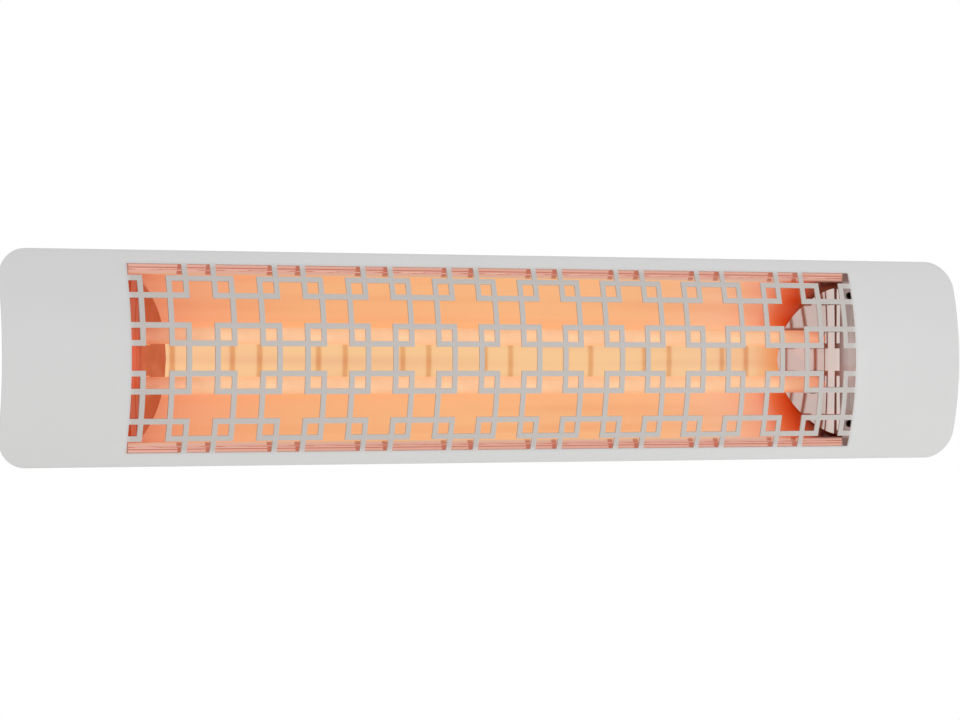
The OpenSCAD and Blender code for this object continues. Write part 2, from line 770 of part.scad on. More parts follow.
module terminal_block() {
  side = 4 + pole_pitch / 2;
  color(ceramic_white) in_heater() difference() {
    block([pole_x[0] - side, block_front, block_bottom], [pole_x[2] + side, block_back, block_top]);
    for (x = pole_x) {
      z_rod(insert_radius + 0.1, [block_bottom - cut, block_top + cut], x, pole_depth);
      for (z = clamp_heights) y_rod(1.5 + 0.1, [pole_depth, block_back + cut], x, z);
    }
    for (x = [pole_x[0], pole_x[2]] + [pole_pitch / 2, -pole_pitch / 2])
      y_rod(1.5 + 0.1, [block_front - cut, block_back + cut], x, (block_top + block_bottom) / 2);
    for (i = [0, 1]) translate([pole_x[i] + pole_pitch / 2, block_back, 0])
      block([-0.8, -5, block_bottom - cut], [0.8, cut, block_top + cut]);
  }
}

clamp_heights = [block_bottom + 5.5, block_top - 5.5];

module terminal_inserts() {
  color(brass_gold) in_heater() for (x = pole_x) difference() {
    z_rod(insert_radius, [block_bottom + 2.5, block_top - 2.5], x, pole_depth);
    z_rod(lead_radius + 0.2, [block_bottom, block_top], x, pole_depth);
    for (z = clamp_heights) y_rod(1.5 + thread_clearance, [pole_depth, block_back], x, z);
  }
}

module terminal_clamp_screws() {
  color(zinc_grey) in_heater() for (x = pole_x, z = clamp_heights) difference() {
    y_rod(1.5, [pole_depth + lead_radius + 0.3, block_back - 1], x, z);
    block([x - 2, block_back - 2, z - 0.3], [x + 2, block_back, z + 0.3]);
  }
}

terminal_bracket_depth = block_front - 10;
terminal_bracket_fixings = [pole_x[0], pole_x[2]];

// An angle that carries the terminal block on the housing's bottom wall
module terminal_bracket() {
  back = block_front - seat_gap;
  side = 4 + pole_pitch / 2;
  floor_top = -wall_inside + seat_gap;
  color(zinc_grey) in_heater() difference() {
    union() {
      block([pole_x[0] - side, back - housing_sheet, floor_top], [pole_x[2] + side, back, block_top]);
      block([pole_x[0] - side, terminal_bracket_depth - 7, floor_top],
        [pole_x[2] + side, back, floor_top + housing_sheet]);
    }
    for (x = terminal_bracket_fixings)
      z_rod(2 + thread_clearance, [floor_top - cut, floor_top + 2 * cut], x, terminal_bracket_depth);
    for (x = [pole_x[0], pole_x[2]] + [pole_pitch / 2, -pole_pitch / 2])
      y_rod(1.5 + thread_clearance, [back - 2 * cut, back + cut], x, (block_top + block_bottom) / 2);
  }
}

// Screws that hold the block on its bracket, and the bracket on the housing
module terminal_bracket_screws() {
  color(zinc_grey) in_heater() {
    for (x = terminal_bracket_fixings)
      translate([x, terminal_bracket_depth, -housing_half_height - seat_gap]) rotate([180, 0, 0]) screw(4, 6);
    for (x = [pole_x[0], pole_x[2]] + [pole_pitch / 2, -pole_pitch / 2])
      y_rod(1.5, [block_front - 3, block_back - 6], x, (block_top + block_bottom) / 2);
  }
}

module earth_stud() {
  color(brass_gold) in_heater() {
    y_rod(2.5, [back_inside - 12, body_depth + 1], earth_x, earth_z);
    y_rod(4.5, [body_depth + seat_gap, body_depth + 2], earth_x, earth_z);
  }
}

module earth_nut() {
  height = 3.8;
  starts = [back_inside - seat_gap - height, earth_ring_depth - seat_gap - height];
  color(brass_gold) in_heater() for (y = starts)
    translate([earth_x, y, earth_z]) rotate([-90, 0, 0]) hex_nut(2.5 + thread_clearance, 8, height);
}

service_fixings = [for (x = [service_x[0] - service_inset, service_x[1] + service_inset],
  z = [service_z[0] - service_inset, service_z[1] + service_inset]) [x, z]];

module service_outline(start, thick, hole) {
  difference() {
    block([service_x[0] - service_rim, start, service_z[0] - service_rim],
      [service_x[1] + service_rim, start + thick, service_z[1] + service_rim]);
    for (p = service_fixings) y_rod(hole, [start - cut, start + thick + cut], p[0], p[1]);
  }
}

module service_cover() {
  color(steel_grey) in_heater()
    service_outline(body_depth + gasket_sheet + 2 * seat_gap, cover_sheet, 1.75 + screw_clearance);
}

module service_cover_gasket() {
  color("#3a3a3c") in_heater() difference() {
    service_outline(body_depth + seat_gap, gasket_sheet, 1.75 + screw_clearance);
    block([service_x[0], body_depth - cut, service_z[0]], [service_x[1], body_depth + 3 * cut, service_z[1]]);
  }
}

module service_cover_screws() {
  top = body_depth + gasket_sheet + cover_sheet + 3 * seat_gap;
  color(zinc_grey) in_heater() for (p = service_fixings)
    translate([p[0], top, p[1]]) rotate([-90, 0, 0]) screw(3.5, 7);
}

// ---- Cable gland ----

module at_gland(depth) { in_heater() translate([gland_x, depth, gland_z]) rotate([-90, 0, 0]) children(); }

gland_hex_start = body_depth + seat_gap;
gland_neck_start = gland_hex_start + gland_hex_length;
seal_pocket = 8;
seal_length = 10.5;

module gland_body() {
  neck = gland_radius - 0.4;
  color(black_oxide) at_gland(0) difference() {
    union() {
      translate([0, 0, gland_inner_end]) cylinder(r = gland_radius, h = gland_neck_start - gland_inner_end);
      translate([0, 0, gland_hex_start]) cylinder(r = gland_hex / sqrt(3), h = gland_hex_length, $fn = 6);
      translate([0, 0, gland_neck_start - cut]) cylinder(r = neck, h = gland_neck + cut);
    }
    translate([0, 0, gland_inner_end - cut]) cylinder(r = gland_bore, h = 60);
    translate([0, 0, gland_neck_start + gland_neck - seal_pocket])
      cylinder(r = gland_bore + seal_wall + 0.1, h = seal_pocket + cut);
  }
}

module gland_lock_nut() {
  height = 5;
  color(black_oxide) at_gland(back_inside - seat_gap - height)
    hex_nut(gland_radius + thread_clearance, gland_thread + 6, height);
}

module gland_seal() {
  color("#4a4a4c") at_gland(gland_neck_start + gland_neck - seal_pocket + seat_gap) difference() {
    cylinder(r = gland_bore + seal_wall, h = seal_length);
    translate([0, 0, -cut]) cylinder(r = gland_bore, h = seal_length + 2 * cut);
  }
}

module gland_cap() {
  thread = gland_radius - 0.4 + 0.1;
  outer = thread + cap_wall;
  deep = gland_neck + 0.3;
  pocket = deep + seal_length - seal_pocket + 0.2;
  total = pocket + 4;
  color(black_oxide) at_gland(gland_neck_start + seat_gap) difference() {
    rotate_extrude() polygon([
      [thread, 0], [outer, 0], [outer, pocket - 2], [outer - 3, total], [gland_bore, total],
      [gland_bore, pocket], [gland_bore + seal_wall + 0.15, pocket],
      [gland_bore + seal_wall + 0.15, deep], [thread, deep]]);
    for (k = [0:11]) rotate([0, 0, 30 * k]) translate([outer + 0.3, 0, -cut])
      cylinder(r = 1.1, h = pocket - 1, $fn = 24);
  }
}

// ---- Brackets ----

hinge_fixings = [for (x = [-1, 1] * bracket_spacing / 2, i = [-1, 1], j = [-1, 1])
  [x + i * hinge_screw[0], j * hinge_screw[1]]];

// Shows both brackets' worth of a shape that is drawn round x = 0
module both_brackets() { for (side = [-1, 1]) translate([side * bracket_spacing / 2, 0, 0]) children(); }

// The outline of a hinge bracket's ear, drawn with the depth along x and the height along y
module hinge_ear_outline() {
  root = hinge_base_half_height - 6;
  polygon([[rear, -root], [rear + hinge_bracket_sheet, -root], [pivot_y, -ear_radius],
    [pivot_y, ear_radius], [rear + hinge_bracket_sheet, root], [rear, root]]);
  translate([pivot_y, 0]) circle(r = ear_radius);
}

module wall_ear_outline() {
  polygon([[0, -ear_radius - 4], [-wall_bracket_sheet, -ear_radius - 4], [pivot_y, -ear_radius],
    [pivot_y, ear_radius], [-wall_bracket_sheet, ear_radius + 4], [0, ear_radius + 4]]);
  translate([pivot_y, 0]) circle(r = ear_radius);
}

// Stands an outline of depth and height up as a plate between two places along X
module ear(x) { translate([x[0], 0, 0]) rotate([90, 0, 90]) linear_extrude(x[1] - x[0]) children(); }

module hinge_bracket() {
  start = rear + seat_gap;
  difference() {
    union() {
      block([-hinge_ear_outside, start, -hinge_base_half_height],
        [hinge_ear_outside, start + hinge_bracket_sheet, hinge_base_half_height]);
      intersection() {
        union() {
          ear([hinge_ear_inside, hinge_ear_outside]) hinge_ear_outline();
          ear([-hinge_ear_outside, -hinge_ear_inside]) hinge_ear_outline();
        }
        block([-hinge_ear_outside, start, -wall_gap], [hinge_ear_outside, 0, wall_gap]);
      }
    }
    x_rod(bush_radius + 0.02, [-hinge_ear_outside - cut, hinge_ear_outside + cut], pivot_y);
    for (i = [-1, 1], j = [-1, 1])
      y_rod(hinge_screw_diameter / 2 + screw_clearance, [rear - cut, pivot_y], i * hinge_screw[0], j * hinge_screw[1]);
  }
}

module hinge_bracket_left() {
  color(steel_grey) translate([-bracket_spacing / 2, 0, 0]) hinge_bracket();
}
module hinge_bracket_right() {
  color(steel_grey) translate([bracket_spacing / 2, 0, 0]) hinge_bracket();
}

module hinge_bracket_screws() {
  color(zinc_grey) for (p = hinge_fixings)
    translate([p[0], rear + hinge_bracket_sheet + 2 * seat_gap, p[1]]) rotate([-90, 0, 0])
      screw(hinge_screw_diameter, hinge_bracket_sheet + housing_sheet + 4.5);
}

module hinge_bracket_nuts() {
  height = 3.6;
  color(zinc_grey) for (p = hinge_fixings)
    translate([p[0], rear - housing_sheet - seat_gap - height, p[1]]) rotate([-90, 0, 0])
      hex_nut(hinge_screw_diameter / 2 + thread_clearance, 8, height);
}

// Flanged bushes pressed into the hinge brackets' ears
module pivot_bushes() {
  bore = pivot_radius + running_clearance;
  color(brass_gold) both_brackets() both_ends() difference() {
    union() {
      x_rod(bush_radius, [hinge_ear_inside - bush_flange, hinge_ear_outside], pivot_y);
      x_rod(bush_radius + 2, [hinge_ear_inside - bush_flange, hinge_ear_inside - 0.02], pivot_y);
    }
    x_rod(bore, [0, bolt_head_start], pivot_y);
  }
}

module wall_bracket() {
  difference() {
    union() {
      block([-wall_plate_half_width, -wall_bracket_sheet, -wall_plate_half_height],
        [wall_plate_half_width, 0, wall_plate_half_height]);
      ear([ear_inside, ear_outside]) wall_ear_outline();
      ear([-ear_outside, -ear_inside]) wall_ear_outline();
    }
    for (side = [-1, 1])
      y_rod(wall_hole / 2, [-wall_bracket_sheet - cut, cut], 0, side * wall_hole_pitch / 2);
    x_rod(pivot_radius + screw_clearance, [-ear_outside - cut, ear_outside + cut], pivot_y);
  }
}

module wall_bracket_left() {
  color(steel_grey) translate([-bracket_spacing / 2, 0, 0]) wall_bracket();
}
module wall_bracket_right() {
  color(steel_grey) translate([bracket_spacing / 2, 0, 0]) wall_bracket();
}

// Hexagon bolts through each pair of ears
module pivot_bolts() {
  tip = bolt_head_start + lock_nut_height + 2;
  color(zinc_grey) both_brackets() translate([0, pivot_y, 0]) {
    x_rod(pivot_radius, [-tip, bolt_head_start + cut]);
    translate([bolt_head_start, 0, 0]) rotate([0, 90, 0])
      cylinder(r = bolt_head_across / sqrt(3), h = bolt_head_height, $fn = 6);
  }
}

module pivot_lock_nuts() {
  color(zinc_grey) both_brackets() translate([-bolt_head_start - lock_nut_height, pivot_y, 0])
    rotate([0, 90, 0]) difference() {
      union() {
        translate([0, 0, 2]) cylinder(r = bolt_head_across / sqrt(3), h = lock_nut_height - 2, $fn = 6);
        cylinder(r = bolt_head_across / 2 - 0.6, h = lock_nut_height);
      }
      translate([0, 0, -cut]) cylinder(r = pivot_radius + thread_clearance, h = lock_nut_height + 2 * cut);
    }
}

// Tubes that keep the wall brackets' ears apart when the bolts are tight
module pivot_sleeves() {
  color(zinc_grey) both_brackets() difference() {
    x_rod(pivot_radius + 2.2, [-ear_inside + seat_gap, ear_inside - seat_gap], pivot_y);
    x_rod(pivot_radius + 0.15, [-ear_gap, ear_gap], pivot_y);
  }
}

// Washers on both sides of the hinge brackets' ears, which give the tilt its friction
module friction_washers() {
  color("#5b5d60") both_brackets() both_ends()
    for (start = [ear_outside + seat_gap, outer_washer_start]) difference() {
      x_rod(pivot_radius + 5, [start, start + washer_sheet], pivot_y);
      x_rod(pivot_radius + 0.15, [start - cut, start + washer_sheet + cut], pivot_y);
    }
}

face_plate();
face_plate_studs();
face_plate_nuts();
housing_pan();
end_panel_left();
end_panel_right();
end_panel_screws();
reflector_trough();
reflector_rivets();
end_reflector_left();
end_reflector_right();
end_reflector_screws();
heat_shield();
heat_shield_spacers();
heat_shield_screws();
element_bracket_left();
element_bracket_right();
element_bracket_screws();
tube_clips();
tube_clip_rivets();
upper_quartz_tube();
lower_quartz_tube();
upper_heating_coil();
lower_heating_coil();
coil_cold_pins();
ceramic_end_caps();
terminal_studs();
terminal_nuts();
ring_terminals();
jumper_lead();
upper_lead();
lower_lead();
earth_lead();
terminal_block();
terminal_inserts();
terminal_clamp_screws();
terminal_bracket();
terminal_bracket_screws();
earth_stud();
earth_nut();
service_cover();
service_cover_gasket();
service_cover_screws();
gland_body();
gland_lock_nut();
gland_seal();
gland_cap();
hinge_bracket_left();
hinge_bracket_right();
hinge_bracket_screws();
hinge_bracket_nuts();
pivot_bushes();
wall_bracket_left();
wall_bracket_right();
pivot_bolts();
pivot_lock_nuts();
pivot_sleeves();
friction_washers();
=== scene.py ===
import json
import math

import bmesh
import bpy
from mathutils import Matrix, Vector


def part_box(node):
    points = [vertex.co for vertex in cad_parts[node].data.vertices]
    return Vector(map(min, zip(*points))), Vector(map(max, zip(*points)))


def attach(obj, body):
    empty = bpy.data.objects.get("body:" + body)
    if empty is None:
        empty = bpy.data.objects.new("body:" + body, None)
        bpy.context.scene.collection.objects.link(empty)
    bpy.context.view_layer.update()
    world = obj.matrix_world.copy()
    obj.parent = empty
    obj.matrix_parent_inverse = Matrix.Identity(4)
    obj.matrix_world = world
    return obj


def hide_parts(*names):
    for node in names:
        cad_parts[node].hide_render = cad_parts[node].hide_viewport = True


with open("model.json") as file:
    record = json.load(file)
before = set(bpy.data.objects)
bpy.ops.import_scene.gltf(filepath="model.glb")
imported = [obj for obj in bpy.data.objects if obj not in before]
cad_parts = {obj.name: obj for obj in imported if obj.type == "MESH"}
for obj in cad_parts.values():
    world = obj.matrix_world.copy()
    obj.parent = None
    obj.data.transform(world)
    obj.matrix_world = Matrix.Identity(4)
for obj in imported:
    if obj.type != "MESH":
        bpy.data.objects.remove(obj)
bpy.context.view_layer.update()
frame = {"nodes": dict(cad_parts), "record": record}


# ---- Camera ----
# A long lens 3.4 m away, level with the heater's middle and a quarter turn short of square on to its
# left-hand end, so the face runs away to the right.
CAMERA_PLACE = (-1.3992, -3.1261, -0.0053)
CAMERA_YAW = 0.4317
CAMERA_PITCH = 0.0013
CAMERA_ROLL = 0.0011
CAMERA_LENS = 129.57
CAMERA_SENSOR = 36

forward = Vector((math.sin(CAMERA_YAW) * math.cos(CAMERA_PITCH), math.cos(CAMERA_YAW) * math.cos(CAMERA_PITCH),
                  math.sin(CAMERA_PITCH)))
level_right = Vector((math.cos(CAMERA_YAW), -math.sin(CAMERA_YAW), 0))
level_up = level_right.cross(forward)
right = math.cos(CAMERA_ROLL) * level_right + math.sin(CAMERA_ROLL) * level_up
up = math.cos(CAMERA_ROLL) * level_up - math.sin(CAMERA_ROLL) * level_right
turn = Matrix((right, up, -forward)).transposed().to_4x4()
camera = bpy.data.objects.new("camera", bpy.data.cameras.new("camera"))
camera.data.sensor_width = CAMERA_SENSOR
camera.data.lens = CAMERA_LENS
camera.matrix_world = Matrix.Translation(CAMERA_PLACE) @ turn
bpy.context.scene.collection.objects.link(camera)
bpy.context.scene.camera = camera


# ---- Studio ----
# A white room: an even white surround that the camera sees as a clean ground, one with a bright front wall and
# dimmer sides that lights the metal, two large soft boxes and a pale matt floor below.
def linear(colour):
    """An sRGB hex colour as linear red, green, blue and alpha."""
    parts = [int(colour[i:i + 2], 16) / 255 for i in (1, 3, 5)]
    return tuple(c / 12.92 if c <= 0.04045 else ((c + 0.055) / 1.055) ** 2.4 for c in parts) + (1.0,)


def add(tree, kind, inputs=(), **settings):
    """Adds a node with its settings. Inputs are given by name or number, or in order. One that is a node or its
    output is linked, and any other is a value."""
    made = tree.nodes.new(kind)
    for name, value in settings.items():
        setattr(made, name, value)
    for name, value in (inputs if isinstance(inputs, dict) else dict(enumerate(inputs))).items():
        if isinstance(value, bpy.types.Node):
            value = value.outputs[0]
        if isinstance(value, bpy.types.NodeSocket):
            tree.links.new(value, made.inputs[name])
        else:
            made.inputs[name].default_value = value
    return made


SURROUND_SEEN = 1.0
SURROUND_ACROSS = ((-0.85, 0.68), (-0.5, 0.85), (0.2, 0.85), (0.38, 0.54))
world = bpy.data.worlds.new("white_room")
world.use_nodes = True
room = world.node_tree
room.nodes.clear()
way = add(room, "ShaderNodeSeparateXYZ", {0: add(room, "ShaderNodeTexCoord").outputs["Generated"]})
spread = add(room, "ShaderNodeMapRange", {0: way.outputs["X"], 1: -1.0, 2: 1.0})
across = add(room, "ShaderNodeValToRGB", {0: spread})
stops = across.color_ramp.elements
while len(stops) < len(SURROUND_ACROSS):
    stops.new(0.5)
for stop, (side, level) in zip(stops, SURROUND_ACROSS):
    stop.position = (side + 1) / 2
    stop.color = (level, level, level, 1.0)
ray = add(room, "ShaderNodeLightPath")
strength = add(room, "ShaderNodeMapRange", {0: ray.outputs["Is Camera Ray"], 3: across, 4: SURROUND_SEEN})
ground = add(room, "ShaderNodeBackground", {"Color": linear("#FFFFFF"), "Strength": strength})
add(room, "ShaderNodeOutputWorld", {"Surface": ground})
bpy.context.scene.world = world
bpy.context.scene.view_settings.view_transform = "Standard"

SOFT_BOXES = (("soft_box_front", (1.3, -3.4, -0.2), 2.2, 47), ("soft_box_back", (0.3, 1.6, 1.4), 1.8, 16))
for name, place, size, power in SOFT_BOXES:
    lamp = bpy.data.lights.new(name, "AREA")
    lamp.shape = "SQUARE"
    lamp.size = size
    lamp.energy = power
    box = bpy.data.objects.new(name, lamp)
    box.matrix_world = Matrix.Translation(place) @ (-Vector(place)).to_track_quat("-Z", "Y").to_matrix().to_4x4()
    box.visible_glossy = False
    bpy.context.scene.collection.objects.link(box)

FLOOR_HEIGHT = -0.75
FLOOR_RADIUS = 2.2
floor_mesh = bpy.data.meshes.new("floor")
shaper = bmesh.new()
bmesh.ops.create_circle(shaper, cap_ends=True, radius=FLOOR_RADIUS, segments=96,
                        matrix=Matrix.Translation((0, 0, FLOOR_HEIGHT)))
shaper.to_mesh(floor_mesh)
shaper.free()
floor = bpy.data.objects.new("floor", floor_mesh)
bpy.context.scene.collection.objects.link(floor)


def started(name, values=None):
    """Starts a material, with the values that are the same all over it, and gives its tree, its shader and
    the coordinates of the piece that it is on."""
    finish = bpy.data.materials.new(name)
    finish.use_nodes = True
    shader = finish.node_tree.nodes["Principled BSDF"]
    for socket, value in (values or {}).items():
        shader.inputs[socket].default_value = value
    return finish, finish.node_tree, shader, add(finish.node_tree, "ShaderNodeTexCoord")


# Rolled matt paint, nearly white and very faintly mottled over 170 mm.
matt, tree, shader, where = started("matt_pale_floor", {"Roughness": 0.85})
grain = add(tree, "ShaderNodeTexNoise", {"Vector": where.outputs["Object"], "Scale": 6.0, "Detail": 4.0})
tone = add(tree, "ShaderNodeMix", {0: grain, 6: linear("#EDEDEB"), 7: linear("#F3F3F1")}, data_type="RGBA")
tree.links.new(tone.outputs[2], shader.inputs["Base Color"])
floor_mesh.materials.append(matt)


# ---- Face plate ----
# One sheet of 1.5 mm steel, cut by laser into a pattern of staggered, overlapping squares and rolled to a
# shallow curve. It is sprayed with a satin pale grey coat, and held by studs welded to its back.
MM = 0.001
BEND = 242.0
SHEET = 1.5
FACE_HALF = 500.0
FACE_EDGE = 99.0
CORNER = 28.0
WINDOW_HALF = 379.0
WINDOW_EDGE = 86.5
FRET_STEP = 44.25
FRET_SQUARE = 60.7
FRET_BAR = 5.2
WALL_TO_CROWN = 160.0
LASER_EDGE = 0.22
# How far past the window the face coat's painted glow tint reaches, and over how far it fades.
GLOW_TINT_PAST_WINDOW = (3.0, 2.5)
GLOW_TINT_FADE = 6.0
BROWNED_PAST_WINDOW = 20.0


def in_row(x, depth, z):
    """A point in the row frame, in metres, from millimetres and a depth behind the face plate's crown."""
    return Vector((x, depth - WALL_TO_CROWN, z)) * MM


def round_curve(z):
    """The length round the face plate's curve up to a height."""
    return BEND * math.asin(z / BEND)


def bar_edges(limit):
    """Where the edges of the fretwork's bars lie along one direction, out to a limit."""
    half, bar = FRET_SQUARE / 2, FRET_BAR / 2
    steps = range(-12, 13)
    places = {round(n * FRET_STEP + side * half + edge, 3)
              for n in steps for side in (-1, 1) for edge in (-bar, bar)}
    return sorted(p for p in places if abs(p) < limit)


def filled_in(places, gap):
    """The same places with more between them, so that none are further apart than the gap."""
    out = [places[0]]
    for place in places[1:]:
        parts = max(1, math.ceil((place - out[-1]) / gap))
        start = out[-1]
        out += [start + (place - start) * i / parts for i in range(1, parts + 1)]
    return out


def sheet_mesh(name, rows):
    """A quad grid through rows of points, all rows with the same number."""
    shaper = bmesh.new()
    made = [[shaper.verts.new(p) for p in row] for row in rows]
    for a, b in zip(made, made[1:]):
        for i in range(len(a) - 1):
            shaper.faces.new((a[i], a[i + 1], b[i + 1], b[i]))
    bmesh.ops.remove_doubles(shaper, verts=shaper.verts, dist=1e-7)
    bmesh.ops.dissolve_degenerate(shaper, edges=shaper.edges, dist=1e-7)
    mesh = bpy.data.meshes.new(name)
    shaper.to_mesh(mesh)
    shaper.free()
    return mesh


def shown(name, mesh):
    """Puts a mesh in the scene as an object."""
    piece = bpy.data.objects.new(name, mesh)
    bpy.context.scene.collection.objects.link(piece)
    return piece


def settled(piece, smooth_to=35):
    """Bakes a piece's modifiers into a plain mesh, shaded smooth up to an angle between faces."""
    bpy.context.view_layer.update()
    done = bpy.data.meshes.new_from_object(piece.evaluated_get(bpy.context.evaluated_depsgraph_get()))
    done.name = piece.name
    piece.modifiers.clear()
    old = piece.data
    piece.data = done
    bpy.data.meshes.remove(old)
    done.shade_smooth()
    done.set_sharp_from_angle(angle=math.radians(smooth_to))
    return piece


def put_on(piece, body, finish, slot, *nodes):
    """Gives a finished piece its material and its body, and hides the CAD nodes it stands for. slot is not used."""
    if finish.name not in piece.data.materials:
        piece.data.materials.clear()
        piece.data.materials.append(finish)
    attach(piece, body)
    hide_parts(*nodes)
    return piece


# Satin spray coat on steel: pale neutral grey with a soft sheen, faint cloudiness over 140 mm and a 1.1 mm
# orange peel that only a raking light picks out. Over the fretwork it is painted a warmer, darker grey, a
# painted glow that stands in for the tubes' light falling on the bars from behind.
coat, tree, shader, where = started("satin_pale_grey_coat",
                                    {"Metallic": 0.15, "Coat Weight": 0.15, "Coat Roughness": 0.35})
cloud = add(tree, "ShaderNodeTexNoise", {"Vector": where.outputs["Object"], "Scale": 7.0, "Detail": 3.0})
tone = add(tree, "ShaderNodeMix", {0: cloud, 6: linear("#D2D2D2"), 7: linear("#D8D8D8")}, data_type="RGBA")
spot = add(tree, "ShaderNodeSeparateXYZ", {0: where.outputs["Object"]})
inside = []
for axis, window, past in zip("XZ", (WINDOW_HALF, WINDOW_EDGE), GLOW_TINT_PAST_WINDOW):
    off = add(tree, "ShaderNodeMath", [spot.outputs[axis]], operation="ABSOLUTE")
    edge = window + past
    inside.append(add(tree, "ShaderNodeMapRange", {0: off, 1: edge * MM, 2: (edge - GLOW_TINT_FADE) * MM}))
# Painted light: inside the window and a little past it the coat turns a warmer, darker grey, in place of the tubes'
# glow on the bars.
glow_tint_mask = add(tree, "ShaderNodeMath", inside, operation="MULTIPLY")
glow_tinted_tone = add(tree, "ShaderNodeMix", {0: glow_tint_mask, 6: tone.outputs[2], 7: linear("#C2BCB8")}, data_type="RGBA")
tree.links.new(glow_tinted_tone.outputs[2], shader.inputs["Base Color"])
peel = add(tree, "ShaderNodeTexNoise", {"Vector": where.outputs["Object"], "Scale": 900.0, "Detail": 2.0})
sheen = add(tree, "ShaderNodeMapRange", {0: peel, 3: 0.40, 4: 0.52})
tree.links.new(sheen.outputs[0], shader.inputs["Roughness"])
dimple = add(tree, "ShaderNodeBump", {"Height": peel, "Strength": 0.08, "Distance": 0.0002})
tree.links.new(dimple.outputs[0], shader.inputs["Normal"])

window_arc = round_curve(WINDOW_EDGE)
face_arc = round_curve(FACE_EDGE)
window_columns = filled_in([-WINDOW_HALF] + bar_edges(WINDOW_HALF) + [WINDOW_HALF], 30)
panel_columns = filled_in([WINDOW_HALF, FACE_HALF - CORNER], 16)[1:]
corner_columns = [FACE_HALF - CORNER + CORNER * math.sin(math.radians(a)) for a in range(6, 91, 6)]
side_columns = panel_columns + corner_columns
columns = [-x for x in reversed(side_columns)] + window_columns + side_columns
levels = filled_in([-face_arc, -window_arc] + bar_edges(window_arc) + [window_arc, face_arc], 4)
flat_rows = [[Vector((x, 0, s)) * MM for s in levels] for x in columns]
face_plate = shown("face_plate_sheet", sheet_mesh("face_plate_sheet", flat_rows))

cutter = bpy.data.node_groups.new("fretwork_cut_and_roll", "GeometryNodeTree")
cutter.interface.new_socket("Sheet", in_out="INPUT", socket_type="NodeSocketGeometry")
FRET_SIZES = {"Step": FRET_STEP, "Square": FRET_SQUARE, "Bar": FRET_BAR, "Window half length": WINDOW_HALF,
              "Window half arc": window_arc, "Bend radius": BEND, "Half length": FACE_HALF, "Corner radius": CORNER,
              "Edge height": FACE_EDGE}
for size_name in FRET_SIZES:
    cutter.interface.new_socket(size_name, in_out="INPUT", socket_type="NodeSocketFloat")
cutter.interface.new_socket("Sheet", in_out="OUTPUT", socket_type="NodeSocketGeometry")
sizes = add(cutter, "NodeGroupInput")
here = add(cutter, "GeometryNodeInputPosition")
apart = add(cutter, "ShaderNodeSeparateXYZ", [here])
lengthwise = add(cutter, "ShaderNodeMath", [apart.outputs["X"], 1 / MM], operation="MULTIPLY")
around = add(cutter, "ShaderNodeMath", [apart.outputs["Z"], 1 / MM], operation="MULTIPLY")
step = sizes.outputs["Step"]
step_back = add(cutter, "ShaderNodeMath", [step, -1.0], operation="MULTIPLY")
half_square = add(cutter, "ShaderNodeMath", [sizes.outputs["Square"], 0.5], operation="MULTIPLY")
half_bar = add(cutter, "ShaderNodeMath", [sizes.outputs["Bar"], 0.5], operation="MULTIPLY")
# Squares stand at every second step both ways, and a second set stands a step over and a step up from them.
on_bar = []
for shift in (0.0, 1.0):
    offset = add(cutter, "ShaderNodeMath", [step, shift], operation="MULTIPLY")
    from_centre = []
    for direction in (lengthwise, around):
        moved = add(cutter, "ShaderNodeMath", [direction, offset], operation="SUBTRACT")
        wrapped = add(cutter, "ShaderNodeMath", [moved, step, step_back], operation="WRAP")
        from_centre.append(add(cutter, "ShaderNodeMath", [wrapped], operation="ABSOLUTE"))
    square = add(cutter, "ShaderNodeMath", from_centre, operation="MAXIMUM")
    past_side = add(cutter, "ShaderNodeMath", [square, half_square], operation="SUBTRACT")
    from_side = add(cutter, "ShaderNodeMath", [past_side], operation="ABSOLUTE")
    on_bar.append(add(cutter, "ShaderNodeMath", [from_side, half_bar], operation="LESS_THAN"))
from_middle = add(cutter, "ShaderNodeMath", [lengthwise], operation="ABSOLUTE")
from_waist = add(cutter, "ShaderNodeMath", [around], operation="ABSOLUTE")
window_half, window_half_arc = sizes.outputs["Window half length"], sizes.outputs["Window half arc"]
outside_ends = add(cutter, "ShaderNodeMath", [from_middle, window_half], operation="GREATER_THAN")
outside_edges = add(cutter, "ShaderNodeMath", [from_waist, window_half_arc], operation="GREATER_THAN")
on_either_bar = add(cutter, "ShaderNodeMath", on_bar, operation="ADD")
outside = add(cutter, "ShaderNodeMath", [outside_ends, outside_edges], operation="ADD")
kept = add(cutter, "ShaderNodeMath", [on_either_bar, outside], operation="ADD")
waste = add(cutter, "ShaderNodeMath", [kept, 0.5], operation="LESS_THAN")
cut_sheet = add(cutter, "GeometryNodeDeleteGeometry", {"Geometry": sizes.outputs["Sheet"], "Selection": waste},
                domain="FACE")

# The corners are rounded as seen from the front, and the sheet is then rolled round its bend axis.
radius, bend, edge_height = (sizes.outputs[n] for n in ("Corner radius", "Bend radius", "Edge height"))
corner_start = add(cutter, "ShaderNodeMath", [sizes.outputs["Half length"], radius], operation="SUBTRACT")
past_start = add(cutter, "ShaderNodeMath", [from_middle, corner_start], operation="SUBTRACT")
into_corner = add(cutter, "ShaderNodeMath", [0.0, past_start], operation="MAXIMUM")
radius_squared = add(cutter, "ShaderNodeMath", [radius, radius], operation="MULTIPLY")
into_squared = add(cutter, "ShaderNodeMath", [into_corner, into_corner], operation="MULTIPLY")
rise_squared = add(cutter, "ShaderNodeMath", [radius_squared, into_squared], operation="SUBTRACT")
rise_kept = add(cutter, "ShaderNodeMath", [0.0, rise_squared], operation="MAXIMUM")
rise = add(cutter, "ShaderNodeMath", [rise_kept], operation="SQRT")
under_corner = add(cutter, "ShaderNodeMath", [edge_height, radius], operation="SUBTRACT")
edge = add(cutter, "ShaderNodeMath", [under_corner, rise], operation="ADD")
narrowed = add(cutter, "ShaderNodeMath", [edge, edge_height], operation="DIVIDE")
